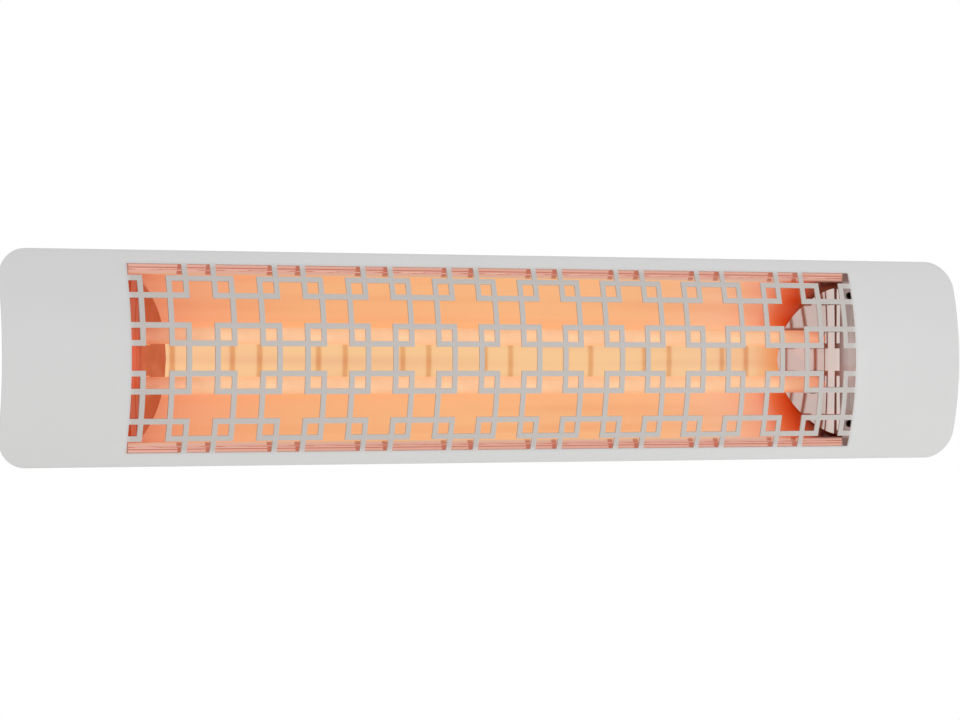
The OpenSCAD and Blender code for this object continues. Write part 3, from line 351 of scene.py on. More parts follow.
angle = add(cutter, "ShaderNodeMath", [around, bend], operation="DIVIDE")
sine = add(cutter, "ShaderNodeMath", [angle], operation="SINE")
flat_height = add(cutter, "ShaderNodeMath", [bend, sine], operation="MULTIPLY")
height = add(cutter, "ShaderNodeMath", [flat_height, narrowed], operation="MULTIPLY")
bend_squared = add(cutter, "ShaderNodeMath", [bend, bend], operation="MULTIPLY")
height_squared = add(cutter, "ShaderNodeMath", [height, height], operation="MULTIPLY")
back_squared = add(cutter, "ShaderNodeMath", [bend_squared, height_squared], operation="SUBTRACT")
back = add(cutter, "ShaderNodeMath", [back_squared], operation="SQRT")
behind_crown = add(cutter, "ShaderNodeMath", [bend, back], operation="SUBTRACT")
from_wall = add(cutter, "ShaderNodeMath", [behind_crown, WALL_TO_CROWN], operation="SUBTRACT")
placed_y = add(cutter, "ShaderNodeMath", [from_wall, MM], operation="MULTIPLY")
placed_z = add(cutter, "ShaderNodeMath", [height, MM], operation="MULTIPLY")
place = add(cutter, "ShaderNodeCombineXYZ", [apart.outputs["X"], placed_y, placed_z])
rolled = add(cutter, "GeometryNodeSetPosition", {"Geometry": cut_sheet, "Position": place})
whole = add(cutter, "GeometryNodeRealizeInstances", {0: rolled})
coated = add(cutter, "GeometryNodeSetMaterial", {"Geometry": whole, "Material": coat})
add(cutter, "NodeGroupOutput", {0: coated})


def run_tree(piece, group, values):
    """Adds a node tree to a piece as a modifier, with its sizes set by their sockets' identifiers."""
    stage = piece.modifiers.new(group.name, "NODES")
    stage.node_group = group
    for item in group.interface.items_tree:
        if item.item_type == "SOCKET" and item.in_out == "INPUT" and item.name in values:
            stage[item.identifier] = values[item.name]
    return stage


run_tree(face_plate, cutter, FRET_SIZES)
wall = face_plate.modifiers.new("sheet", "SOLIDIFY")
wall.thickness = SHEET * MM
wall.offset = 1.0
wall.use_even_offset = True
broken_edge = face_plate.modifiers.new("broken_edge", "BEVEL")
broken_edge.width = LASER_EDGE * MM
broken_edge.segments = 2
broken_edge.limit_method = "ANGLE"
broken_edge.angle_limit = math.radians(50)
settled(face_plate)

# Behind the fretwork, inside the housing, the sheet has only a thin coat that the heat has browned: matt, much
# darker, and blotched about every 30 mm.
browned, tree, shader, where = started("heat_browned_thin_coat")
blotch = add(tree, "ShaderNodeTexNoise", {"Vector": where.outputs["Object"], "Scale": 35.0, "Detail": 5.0})
tone = add(tree, "ShaderNodeMix", {0: blotch, 6: linear("#7A4B40"), 7: linear("#96685A")}, data_type="RGBA")
tree.links.new(tone.outputs[2], shader.inputs["Base Color"])
dry = add(tree, "ShaderNodeMapRange", {0: blotch, 3: 0.55, 4: 0.75})
tree.links.new(dry.outputs[0], shader.inputs["Roughness"])
face_plate.data.materials.append(browned)
browned_half = (WINDOW_HALF + BROWNED_PAST_WINDOW) * MM
inside_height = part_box("housing_pan")[1][2] - 2 * SHEET * MM
for face in face_plate.data.polygons:
    inward = in_row(0, BEND, 0) - face.center
    inward.x = 0
    behind_window = abs(face.center.x) < browned_half and abs(face.center.z) < inside_height
    if behind_window and face.normal.dot(inward.normalized()) > 0.8:
        face.material_index = 1
put_on(face_plate, "heater", coat, "satin_face_coating", "face_plate")


# ---- Studs, nuts, screws and rivets ----
# Zinc-plated steel fasteners. The face plate's studs are welded to its back and nutted behind the housing's
# flanges; rivets join the trough to the housing, and pan-head screws hold the rest.
def softened(node, finish, edge=0.15, smooth_to=35):
    """Stands a copy of a CAD node in its place, with its edges broken by a small bevel and its curves smooth."""
    shaper = bmesh.new()
    shaper.from_mesh(frame["nodes"][node].data)
    bmesh.ops.remove_doubles(shaper, verts=shaper.verts, dist=2e-6)
    bmesh.ops.dissolve_limit(shaper, angle_limit=math.radians(0.4), verts=shaper.verts, edges=shaper.edges)
    mesh = bpy.data.meshes.new(node + "_finished")
    shaper.to_mesh(mesh)
    shaper.free()
    piece = shown(node + "_finished", mesh)
    if edge:
        breaker = piece.modifiers.new("broken_edge", "BEVEL")
        breaker.width = edge * MM
        breaker.segments = 2
        breaker.limit_method = "ANGLE"
        breaker.angle_limit = math.radians(40)
        breaker.use_clamp_overlap = True
    settled(piece, smooth_to)
    body = "brackets" if node in BRACKET_NODES else "heater"
    return put_on(piece, body, finish, SLOTS[node], node)


BRACKET_NODES = set(frame["record"]["behaviour"]["bodies"]["brackets"])
SLOTS = {part["node"]: part["material_slot"] for part in frame["record"]["subparts"]}

# Bright zinc plate: cool silver with a milky passivation in 7 mm blotches, and scuffs that tools leave, drawn
# at 0.7 mm so that they show.
zinc, tree, shader, where = started("bright_zinc_plate", {"Metallic": 1.0})
blotch = add(tree, "ShaderNodeTexNoise", {"Vector": where.outputs["Object"], "Scale": 140.0, "Detail": 4.0})
tint = add(tree, "ShaderNodeValToRGB", {0: blotch})
tint.color_ramp.elements[0].position = 0.35
tint.color_ramp.elements[0].color = linear("#A9AEB6")
tint.color_ramp.elements[1].position = 0.7
tint.color_ramp.elements[1].color = linear("#CFCDC6")
tree.links.new(tint.outputs[0], shader.inputs["Base Color"])
scuff = add(tree, "ShaderNodeTexNoise", {"Vector": where.outputs["Object"], "Scale": 1500.0, "Detail": 3.0})
dull = add(tree, "ShaderNodeMapRange", {0: scuff, 3: 0.22, 4: 0.42})
tree.links.new(dull.outputs[0], shader.inputs["Roughness"])
nick = add(tree, "ShaderNodeBump", {"Height": scuff, "Strength": 0.12, "Distance": 0.0001})
tree.links.new(nick.outputs[0], shader.inputs["Normal"])
for node in ("face_plate_studs", "face_plate_nuts", "reflector_rivets", "end_panel_screws", "heat_shield_screws",
             "element_bracket_screws", "tube_clip_rivets", "terminal_nuts", "terminal_clamp_screws",
             "terminal_bracket_screws", "service_cover_screws", "hinge_bracket_screws", "hinge_bracket_nuts",
             "pivot_bolts", "pivot_lock_nuts", "pivot_sleeves"):
    softened(node, zinc)


# ---- Housing ----
# A pan folded from 1.2 mm steel with flanges round its mouth, closed by two screwed end panels. The screwed
# cover over the wiring is cut from the same sheet, and all are sprayed with the same grey powder coat.
# Powder coat leaves a fine pimpled skin, drawn at 0.9 mm so that it shows. Its grey drifts a little over
# 110 mm, and dust lies on what faces up.
powder, tree, shader, where = started("fine_grey_powder_coat", {"Specular IOR Level": 0.4})
facing = add(tree, "ShaderNodeNewGeometry")
up_part = add(tree, "ShaderNodeSeparateXYZ", {0: facing.outputs["Normal"]})
pimple = add(tree, "ShaderNodeTexNoise", {"Vector": where.outputs["Object"], "Scale": 1100.0, "Detail": 2.0})
patch = add(tree, "ShaderNodeTexNoise", {"Vector": where.outputs["Object"], "Scale": 9.0, "Detail": 5.0})
tone = add(tree, "ShaderNodeMix", {0: patch, 6: linear("#8B8E91"), 7: linear("#96999B")}, data_type="RGBA")
settle = add(tree, "ShaderNodeMapRange", {0: up_part.outputs["Z"], 1: 0.6, 2: 1.0, 3: 0.0, 4: 0.35})
dusted = add(tree, "ShaderNodeMath", [settle, patch], operation="MULTIPLY")
dusty = add(tree, "ShaderNodeMix", {0: dusted, 6: tone.outputs[2], 7: linear("#BDB9B0")}, data_type="RGBA")
tree.links.new(dusty.outputs[2], shader.inputs["Base Color"])
skin = add(tree, "ShaderNodeMapRange", {0: patch, 3: 0.50, 4: 0.66})
tree.links.new(skin.outputs[0], shader.inputs["Roughness"])
bumps = add(tree, "ShaderNodeBump", {"Height": pimple, "Strength": 0.25, "Distance": 0.0002})
tree.links.new(bumps.outputs[0], shader.inputs["Normal"])
for node in ("housing_pan", "end_panel_left", "end_panel_right"):
    softened(node, powder, 0.35)
softened("service_cover", powder, 0.3)


# ---- Reflector ----
# A trough rolled from 0.8 mm polished aluminium, as a circular arc between two flat flanges. At each end a
# slanted plate of the same sheet closes it, bent round through a wide radius into its own screwed flange.
TROUGH_BACK = 63.0
LIP_DEPTH = 21.02
MOUTH_HALF = 77.0
FLANGE_EDGE = 93.0
MOUTH_HALF_LENGTH = 365.5
END_BEND = 25.0
REFLECTOR_SHEET = 0.8
END_GAP = 0.8
TUBE_HEIGHTS = (21.1, -24.9)
TUBE_DEPTH = 36.0
TUBE_HOLE = 9.15
TROUGH_RADIUS = (MOUTH_HALF ** 2 + (TROUGH_BACK - LIP_DEPTH) ** 2) / (2 * (TROUGH_BACK - LIP_DEPTH))
TROUGH_CENTRE = TROUGH_BACK - TROUGH_RADIUS
end_tangent = END_BEND * math.tan(math.radians(22.5))
END_FLANGE_START = MOUTH_HALF_LENGTH + end_tangent
TROUGH_SHORT = 0.5
TROUGH_HALF = END_FLANGE_START - TROUGH_SHORT
GLOW_REACH = 400.0
LIP_GLOW = (76.5, 80.0)
CORE_GLOW = (14.0, 36.0)


def polished(name, painted_base_tint, light, lip_light, glow, mirror, core=0.0):
    """Polished aluminium sheet with the elements' light painted on as a glow (emission). The first colours are a
    painted base tint along X that stands in for light and shade on the sheet, the second the painted glow's colours
    along X, the third the painted glow's colour on the flanges, whose base colour is painted too; glow is the glow's
    strength, mirror the sheet's roughness and core how much yellower the painted glow is midway between the tubes."""
    metal, tree, shader, where = started(name, {"Metallic": 1.0})
    drawn = add(tree, "ShaderNodeMapping", {"Vector": where.outputs["Object"], "Scale": (0.04, 1.0, 1.0)})
    lines = add(tree, "ShaderNodeTexNoise", {"Vector": drawn, "Scale": 1400.0, "Detail": 2.0})
    haze = add(tree, "ShaderNodeTexNoise", {"Vector": where.outputs["Object"], "Scale": 11.0, "Detail": 3.0})
    spot = add(tree, "ShaderNodeSeparateXYZ", {0: where.outputs["Object"]})
    # Painted light and shade along X: the base tint and the glow are ramps along the sheet, in place of the tubes'
    # light and the shade towards the ends.
    reach = add(tree, "ShaderNodeMapRange", {0: spot.outputs["X"], 1: -GLOW_REACH * MM, 2: GLOW_REACH * MM})
    bands = []
    for colours in (painted_base_tint, light):
        band = add(tree, "ShaderNodeValToRGB", [reach])
        stops = band.color_ramp.elements
        while len(stops) < len(colours):
            stops.new(0.5)
        for stop, (x, colour) in zip(stops, colours):
            stop.position = (x + GLOW_REACH) / (2 * GLOW_REACH)
            stop.color = linear(colour)
        bands.append(band)
    high = add(tree, "ShaderNodeMath", [spot.outputs["Z"]], operation="ABSOLUTE")
    # Painted light on the flanges: past the lip the base colour and the glow change to their own painted tones.
    lip = add(tree, "ShaderNodeMapRange", {0: high, 1: LIP_GLOW[0] * MM, 2: LIP_GLOW[1] * MM},
              interpolation_type="SMOOTHSTEP")
    painted_base = add(tree, "ShaderNodeMix", {0: lip, 6: bands[0], 7: linear("#C0AFA4")}, data_type="RGBA")
    cloud = add(tree, "ShaderNodeMapRange", {0: haze, 3: 0.95, 4: 1.05})
    tone = add(tree, "ShaderNodeVectorMath", {"Vector": painted_base.outputs[2], "Scale": cloud}, operation="SCALE")
    tree.links.new(tone.outputs[0], shader.inputs["Base Color"])
    rough = add(tree, "ShaderNodeMapRange", {0: lines, 3: mirror * 0.7, 4: mirror * 1.4})
    tree.links.new(rough.outputs[0], shader.inputs["Roughness"])
    ripple = add(tree, "ShaderNodeBump", {"Height": lines, "Strength": 0.02, "Distance": 0.0001})
    tree.links.new(ripple.outputs[0], shader.inputs["Normal"])
    # The painted glow is yellower midway between the tubes, redder in patches along the hairlines, and weaker away
    # from the tubes' heights.
    inner, outer = (height * MM for height in CORE_GLOW)
    middle = add(tree, "ShaderNodeMapRange", {0: high, 1: inner, 2: outer, 3: core, 4: 0.0})
    lit = add(tree, "ShaderNodeMix", {0: middle, 6: bands[1], 7: linear("#FDBD74")}, data_type="RGBA")
    drift = add(tree, "ShaderNodeTexNoise", {"Vector": drawn, "Scale": 60.0, "Detail": 1.0})
    wander = add(tree, "ShaderNodeMapRange", {0: drift, 1: 0.45, 2: 0.75, 3: 0.0, 4: 0.35})
    painted_glow_patches = add(tree, "ShaderNodeMix", {0: wander, 6: lit.outputs[2], 7: linear("#E07A5C")}, data_type="RGBA")
    dimmed = add(tree, "ShaderNodeMix", {0: lip, 6: painted_glow_patches.outputs[2], 7: linear(lip_light)}, data_type="RGBA")
    tree.links.new(dimmed.outputs[2], shader.inputs["Emission Color"])
    near = add(tree, "ShaderNodeMapRange", {0: high, 1: inner, 2: outer, 3: glow * 1.1, 4: glow * 0.78})
    tree.links.new(near.outputs[0], shader.inputs["Emission Strength"])
    return metal


# Mirror-polished sheet, rolled lengthwise: hairlines run along it, drawn 0.7 mm apart so that they show, with
# a haze over 90 mm. Its deep orange is painted: a glow stands in for the tubes' light, and a base tint along it
# stands in for light and shade, redder at both ends and near black past the right end plate.
trough_metal = polished("polished_aluminium_painted_glow",
                        ((-400, "#8E4A34"), (-352, "#BCAC8E"), (296, "#BCAC8E"), (328, "#A8482A"), (352, "#3E1612")),
                        ((-375, "#EC9A7E"), (-290, "#F2A68C"), (-190, "#F6BC92"), (0, "#F8C498"), (180, "#F6C29C"),
                         (250, "#F4C4AC"), (298, "#F4AA96"), (316, "#EE7040"), (336, "#D04010"), (354, "#300602")),
                        "#F2967E", 0.62, 0.08, 0.7)
arc_half = math.asin(MOUTH_HALF / TROUGH_RADIUS)
arc = [(TROUGH_CENTRE + TROUGH_RADIUS * math.cos(a), TROUGH_RADIUS * math.sin(a))
       for a in (arc_half * (1 - i / 48) for i in range(97))]
FLANGE_MIDDLE = 88.0
BEAD_PLACE = 82.0
BEAD_HALF = 1.6
BEAD_HEIGHT = 0.7
bead = [(LIP_DEPTH - BEAD_HEIGHT * math.sin(math.pi * i / 8), BEAD_PLACE + BEAD_HALF * (1 - i / 4)) for i in range(9)]
flange = [(LIP_DEPTH, FLANGE_EDGE), (LIP_DEPTH, FLANGE_MIDDLE)] + bead + [(LIP_DEPTH, MOUTH_HALF + 0.5)]
profile = flange + arc + [(depth, -z) for depth, z in reversed(flange)]
stations = filled_in([-TROUGH_HALF, TROUGH_HALF], 12)
trough = shown("reflector_trough_sheet", sheet_mesh(
    "reflector_trough_sheet", [[in_row(x, d, z) for d, z in profile] for x in stations]))
wall = trough.modifiers.new("sheet", "SOLIDIFY")
wall.thickness = REFLECTOR_SHEET * MM
wall.offset = -1.0
settled(trough, 30)
put_on(trough, "heater", trough_metal, "polished_aluminium", "reflector_trough")

# The end plates are the same sheet and face across the beam. Their base tint and glow are painted along X as well,
# weaker than the trough's: a strong red-orange on the left plate's bend and flange, paler and duller on the right
# one.
end_metals = {-1: polished("polished_end_plate_left", ((-400, "#966A5A"), (-345, "#8E6252")),
                           ((-400, "#FB5A2C"), (-366, "#FB5A2C"), (-361, "#C04A2A"), (-345, "#B0401E")),
                           "#C0583C", 0.55, 0.12),
              1: polished("polished_end_plate_right", ((340, "#D8CCC6"), (380, "#D8CCC6")),
                          ((340, "#A05444"), (370, "#6A423A"), (380, "#F0DCD6")), "#B09690", 0.42, 0.06)}


def end_line():
    """The end plate's line from the trough's back, along the slant, round the bend and out to its edge."""
    slant = MOUTH_HALF_LENGTH - end_tangent * math.sqrt(0.5), LIP_DEPTH + end_tangent * math.sqrt(0.5)
    deep = TROUGH_BACK - END_GAP - slant[1]
    line = [(slant[0] - deep * i / 16, slant[1] + deep * i / 16) for i in range(16, 0, -1)]
    centre = END_FLANGE_START, LIP_DEPTH + END_BEND
    for i in range(17):
        a = math.radians(225 + 45 * i / 16)
        line.append((centre[0] + END_BEND * math.cos(a), centre[1] + END_BEND * math.sin(a)))
    return line


TOP_SLACK = 4.0
BOTTOM_SLACK = 1.2
END_FLANGE_EDGE = WINDOW_EDGE + 4
END_FLANGE_WIDTH = 15.5
PUNCH_PLACE = 350.0
PUNCH_LENGTH = 120.0
for side, word in ((-1, "left"), (1, "right")):
    rows = []
    for x, d in end_line():
        reach = math.sqrt(max(0.0, (TROUGH_RADIUS - END_GAP) ** 2 - (d - TROUGH_CENTRE) ** 2))
        out = min(1.0, (TROUGH_BACK - d) / (TROUGH_BACK - LIP_DEPTH))
        ends = -reach + BOTTOM_SLACK * out, reach - TOP_SLACK * out
        rows.append([in_row(side * x, d, ends[0] + (ends[1] - ends[0]) * i / 48) for i in range(49)])
    for out in (0.02, 7.5, END_FLANGE_WIDTH):
        x = END_FLANGE_START + out
        rows.append([in_row(side * x, LIP_DEPTH, END_FLANGE_EDGE * i / 24) for i in range(-24, 25)])
    if side > 0:
        rows.reverse()
    plate = shown(f"end_reflector_{word}_sheet", sheet_mesh(f"end_reflector_{word}_sheet", rows))
    wall = plate.modifiers.new("sheet", "SOLIDIFY")
    wall.thickness = REFLECTOR_SHEET * MM
    wall.offset = -1.0
    shaper = bmesh.new()
    for z in TUBE_HEIGHTS:
        bmesh.ops.create_cone(shaper, cap_ends=True, segments=64, radius1=TUBE_HOLE * MM, radius2=TUBE_HOLE * MM,
                              depth=PUNCH_LENGTH * MM,
                              matrix=Matrix.Translation(in_row(side * PUNCH_PLACE, TUBE_DEPTH, z))
                              @ Matrix.Rotation(math.pi / 2, 4, "Y"))
    punch_mesh = bpy.data.meshes.new("punch")
    shaper.to_mesh(punch_mesh)
    shaper.free()
    punch = shown("punch", punch_mesh)
    hole = plate.modifiers.new("tube_holes", "BOOLEAN")
    hole.object = punch
    hole.solver = "EXACT"
    settled(plate, 30)
    bpy.data.objects.remove(punch)
    put_on(plate, "heater", end_metals[side], "polished_aluminium", f"end_reflector_{word}")

# Black-oxide screws through the end plates' flanges: near-black, with a dry oily sheen mottled at 1.4 mm.
oxide, tree, shader, where = started("black_oxide", {"Metallic": 0.8})
mottle = add(tree, "ShaderNodeTexNoise", {"Vector": where.outputs["Object"], "Scale": 700.0, "Detail": 4.0})
tone = add(tree, "ShaderNodeMix", {0: mottle, 6: linear("#1B1B1D"), 7: linear("#34322F")}, data_type="RGBA")
tree.links.new(tone.outputs[2], shader.inputs["Base Color"])
dry = add(tree, "ShaderNodeMapRange", {0: mottle, 3: 0.35, 4: 0.6})
tree.links.new(dry.outputs[0], shader.inputs["Roughness"])
softened("end_reflector_screws", oxide)


# ---- Heat shield ----
# A flat plate of aluminised steel with turned edges, held off the housing's back by ceramic spacers.
# Aluminised steel is dull silver with a 4.5 mm spangle.
spangled, tree, shader, where = started("aluminised_steel", {"Metallic": 1.0})
crystals = add(tree, "ShaderNodeTexVoronoi", {"Vector": where.outputs["Object"], "Scale": 220.0})
tone = add(tree, "ShaderNodeMix", {0: crystals, 6: linear("#9EA1A3"), 7: linear("#B9BBBC")}, data_type="RGBA")
tree.links.new(tone.outputs[2], shader.inputs["Base Color"])
rough = add(tree, "ShaderNodeMapRange", {0: crystals, 3: 0.38, 4: 0.55})
tree.links.new(rough.outputs[0], shader.inputs["Roughness"])
softened("heat_shield", spangled)


# ---- Quartz tubes and coils ----
# Two tubes of satin quartz, open at the ends, with a close-wound coil of resistance wire lying along the
# bottom of each. They run through the end plates and rest in spring clips on the element brackets.
TUBE_RADIUS = 7.95
TUBE_BORE = 6.75
TUBE_HALF = 410.38
COIL_RADIUS = 5.5
COIL_WIRE = 1.2
COIL_PITCH = 2.4
COIL_HALF = 344.5
COIL_PLAY = 0.05
COIL_DROP = TUBE_BORE - COIL_RADIUS - COIL_PLAY
FIRED_EDGE = 0.4
COLD_FADE = (270.0, 375.0)

# Satin quartz lit from inside: an even peach glow, a little deeper towards its edges and redder at the cold
# ends, with the coil behind it showing only as a faint ribbing at its 2.4 mm pitch.
quartz, tree, shader, where = started("satin_quartz_lit_from_inside", {"Roughness": 0.28, "IOR": 1.46})
ribs = add(tree, "ShaderNodeTexWave", {"Vector": where.outputs["Object"], "Scale": 130.0, "Distortion": 0.4},
           bands_direction="X")
mist = add(tree, "ShaderNodeTexNoise", {"Vector": where.outputs["Object"], "Scale": 30.0, "Detail": 3.0})
tone = add(tree, "ShaderNodeMix", {0: mist, 6: linear("#C99A76"), 7: linear("#D2A682")}, data_type="RGBA")
tree.links.new(tone.outputs[2], shader.inputs["Base Color"])
edge_on = add(tree, "ShaderNodeLayerWeight", {"Blend": 0.25})
facing = edge_on.outputs["Facing"]
inner = add(tree, "ShaderNodeMix", {0: facing, 6: linear("#F6C497"), 7: linear("#EE9C68")}, data_type="RGBA")
rib_mark = add(tree, "ShaderNodeMath", [ribs.outputs["Fac"], 0.10], operation="MULTIPLY")
ribbed = add(tree, "ShaderNodeMix", {0: rib_mark, 6: inner.outputs[2], 7: linear("#FFE2B8")}, data_type="RGBA")
spot = add(tree, "ShaderNodeSeparateXYZ", {0: where.outputs["Object"]})
away = add(tree, "ShaderNodeMath", [spot.outputs["X"]], operation="ABSOLUTE")
cold = add(tree, "ShaderNodeMapRange", {0: away, 1: COLD_FADE[0] * MM, 2: COLD_FADE[1] * MM},
           interpolation_type="SMOOTHSTEP")
ends = add(tree, "ShaderNodeMix", {0: cold, 6: ribbed.outputs[2], 7: linear("#C8402C")}, data_type="RGBA")
tree.links.new(ends.outputs[2], shader.inputs["Emission Color"])
shader.inputs["Emission Strength"].default_value = 0.58

# Resistance wire at working heat: bright yellow-orange, redder where scale has formed, in 2.5 mm marks.
wire, tree, shader, where = started("resistance_wire_at_heat", {"Roughness": 0.5})
scale_marks = add(tree, "ShaderNodeTexNoise", {"Vector": where.outputs["Object"], "Scale": 400.0, "Detail": 3.0})
tone = add(tree, "ShaderNodeMix", {0: scale_marks, 6: linear("#FF7A2A"), 7: linear("#FFC070")}, data_type="RGBA")
tree.links.new(tone.outputs[2], shader.inputs["Base Color"])
tree.links.new(tone.outputs[2], shader.inputs["Emission Color"])
shader.inputs["Emission Strength"].default_value = 2.0

winder = bpy.data.node_groups.new("coil_winding", "GeometryNodeTree")
COIL_SIZES = {"Radius": (COIL_RADIUS - COIL_WIRE / 2) * MM, "Wire radius": COIL_WIRE / 2 * MM,
              "Turns": 2 * COIL_HALF / COIL_PITCH, "Length": 2 * (COIL_HALF - COIL_WIRE / 2) * MM}
winder.interface.new_socket("Start", in_out="INPUT", socket_type="NodeSocketGeometry")
for size_name in COIL_SIZES:
    winder.interface.new_socket(size_name, in_out="INPUT", socket_type="NodeSocketFloat")
winder.interface.new_socket("Place", in_out="INPUT", socket_type="NodeSocketVector")
winder.interface.new_socket("Coil", in_out="OUTPUT", socket_type="NodeSocketGeometry")
sizes = add(winder, "NodeGroupInput")
helix = add(winder, "GeometryNodeCurveSpiral", {"Resolution": 14, "Rotations": sizes.outputs["Turns"],
                                                "Start Radius": sizes.outputs["Radius"],
                                                "End Radius": sizes.outputs["Radius"],
                                                "Height": sizes.outputs["Length"]})
half_back = add(winder, "ShaderNodeMath", [sizes.outputs["Length"], -0.5], operation="MULTIPLY")
centred = add(winder, "ShaderNodeCombineXYZ", {2: half_back})
middled = add(winder, "GeometryNodeTransform", {"Geometry": helix, "Translation": centred})
laid = add(winder, "GeometryNodeTransform", {"Geometry": middled, "Rotation": (0, math.pi / 2, 0),
                                             "Translation": sizes.outputs["Place"]})
section = add(winder, "GeometryNodeCurvePrimitiveCircle", {"Resolution": 6, "Radius": sizes.outputs["Wire radius"]})
wound = add(winder, "GeometryNodeCurveToMesh", {"Curve": laid, "Profile Curve": section,
                                                "Fill Caps": True})
whole = add(winder, "GeometryNodeRealizeInstances", {0: wound})
hot = add(winder, "GeometryNodeSetMaterial", {"Geometry": whole, "Material": wire})
add(winder, "NodeGroupOutput", {0: hot})


def turned(name, profile, depth, z, around=64):
    """A closed shape turned on an axis along X, from a closed profile of places along X and radii."""
    rows = []
    for i in range(around + 1):
        a = 2 * math.pi * i / around
        rows.append([in_row(x, depth + r * math.cos(a), z + r * math.sin(a)) for x, r in profile + profile[:1]])
    mesh = sheet_mesh(name, rows)
    shaper = bmesh.new()
    shaper.from_mesh(mesh)
    bmesh.ops.recalc_face_normals(shaper, faces=shaper.faces)
    shaper.to_mesh(mesh)
    shaper.free()
    return shown(name, mesh)


LENGTH_STEPS = 24
for word, z in zip(("upper", "lower"), TUBE_HEIGHTS):
    marks = [TUBE_HALF * (2 * i / LENGTH_STEPS - 1) for i in range(LENGTH_STEPS + 1)]
    outside = ([(-TUBE_HALF, TUBE_RADIUS - FIRED_EDGE), (-TUBE_HALF + FIRED_EDGE, TUBE_RADIUS)]
               + [(x, TUBE_RADIUS) for x in marks[1:-1]]
               + [(TUBE_HALF - FIRED_EDGE, TUBE_RADIUS), (TUBE_HALF, TUBE_RADIUS - FIRED_EDGE)])
    inside = [(TUBE_HALF, TUBE_BORE)] + [(x, TUBE_BORE) for x in reversed(marks[1:-1])] + [(-TUBE_HALF, TUBE_BORE)]
    tube = turned(f"{word}_quartz_tube_drawn", outside + inside, TUBE_DEPTH, z)
    settled(tube, 40)
    put_on(tube, "heater", quartz, "hot_quartz", f"{word}_quartz_tube")
    coil = shown(f"{word}_coil_wound", bpy.data.meshes.new(f"{word}_coil_wound"))
    run_tree(coil, winder, {**COIL_SIZES, "Place": in_row(0, TUBE_DEPTH, z - COIL_DROP)})
    settled(coil, 60)
    put_on(coil, "heater", wire, "glowing_coil", f"{word}_heating_coil")

# Nickel-clad pins and studs carry the current: dull, slightly yellow metal, browned by heat in 8 mm patches.
nickel, tree, shader, where = started("heat_browned_nickel", {"Metallic": 1.0})
brown = add(tree, "ShaderNodeTexNoise", {"Vector": where.outputs["Object"], "Scale": 120.0, "Detail": 4.0})
tone = add(tree, "ShaderNodeMix", {0: brown, 6: linear("#8C7F6C"), 7: linear("#B8B2A4")}, data_type="RGBA")
tree.links.new(tone.outputs[2], shader.inputs["Base Color"])
rough = add(tree, "ShaderNodeMapRange", {0: brown, 3: 0.3, 4: 0.5})
tree.links.new(rough.outputs[0], shader.inputs["Roughness"])
softened("coil_cold_pins", nickel, 0.1)
softened("terminal_studs", nickel, 0.2)


# ---- Ceramic pieces ----
# Pressed and fired steatite: the end caps that close the tubes, the terminal block and the heat shield's
# spacers. It is creamy white and unglazed.
# Steatite has a chalky surface with 1.1 mm specks, and takes brown smudges about 20 mm across in use.
steatite, tree, shader, where = started("unglazed_steatite")
speck = add(tree, "ShaderNodeTexNoise", {"Vector": where.outputs["Object"], "Scale": 900.0, "Detail": 3.0})
smudge = add(tree, "ShaderNodeTexNoise", {"Vector": where.outputs["Object"], "Scale": 45.0, "Detail": 4.0})
tone = add(tree, "ShaderNodeMix", {0: speck, 6: linear("#DCD5C6"), 7: linear("#EFEADF")}, data_type="RGBA")
stain = add(tree, "ShaderNodeMapRange", {0: smudge, 1: 0.5, 2: 0.8, 3: 0.0, 4: 0.35})
used = add(tree, "ShaderNodeMix", {0: stain, 6: tone.outputs[2], 7: linear("#A98F6C")}, data_type="RGBA")
tree.links.new(used.outputs[2], shader.inputs["Base Color"])
chalk = add(tree, "ShaderNodeMapRange", {0: speck, 3: 0.62, 4: 0.8})
tree.links.new(chalk.outputs[0], shader.inputs["Roughness"])
grit = add(tree, "ShaderNodeBump", {"Height": speck, "Strength": 0.2, "Distance": 0.0001})
tree.links.new(grit.outputs[0], shader.inputs["Normal"])
for node in ("ceramic_end_caps", "terminal_block", "heat_shield_spacers"):
    softened(node, steatite, 0.3)


# ---- Element brackets and clips ----
# Folded zinc-plated brackets cross the trough's ends, and blued spring-steel clips on them hold the tubes.
# The friction washers on the pivots are the same blued spring steel.
for node in ("element_bracket_left", "element_bracket_right", "terminal_bracket"):
    softened(node, zinc, 0.2)

# Blued spring steel: dark slate blue, turning to grey-brown in 6 mm patches where it was tempered unevenly.
blued, tree, shader, where = started("blued_spring_steel", {"Metallic": 1.0})
temper = add(tree, "ShaderNodeTexNoise", {"Vector": where.outputs["Object"], "Scale": 160.0, "Detail": 3.0})
tone = add(tree, "ShaderNodeMix", {0: temper, 6: linear("#3D4655"), 7: linear("#6A6660")}, data_type="RGBA")
tree.links.new(tone.outputs[2], shader.inputs["Base Color"])
rough = add(tree, "ShaderNodeMapRange", {0: temper, 3: 0.28, 4: 0.42})
tree.links.new(rough.outputs[0], shader.inputs["Roughness"])
softened("tube_clips", blued, 0.1)
softened("friction_washers", blued, 0.1)


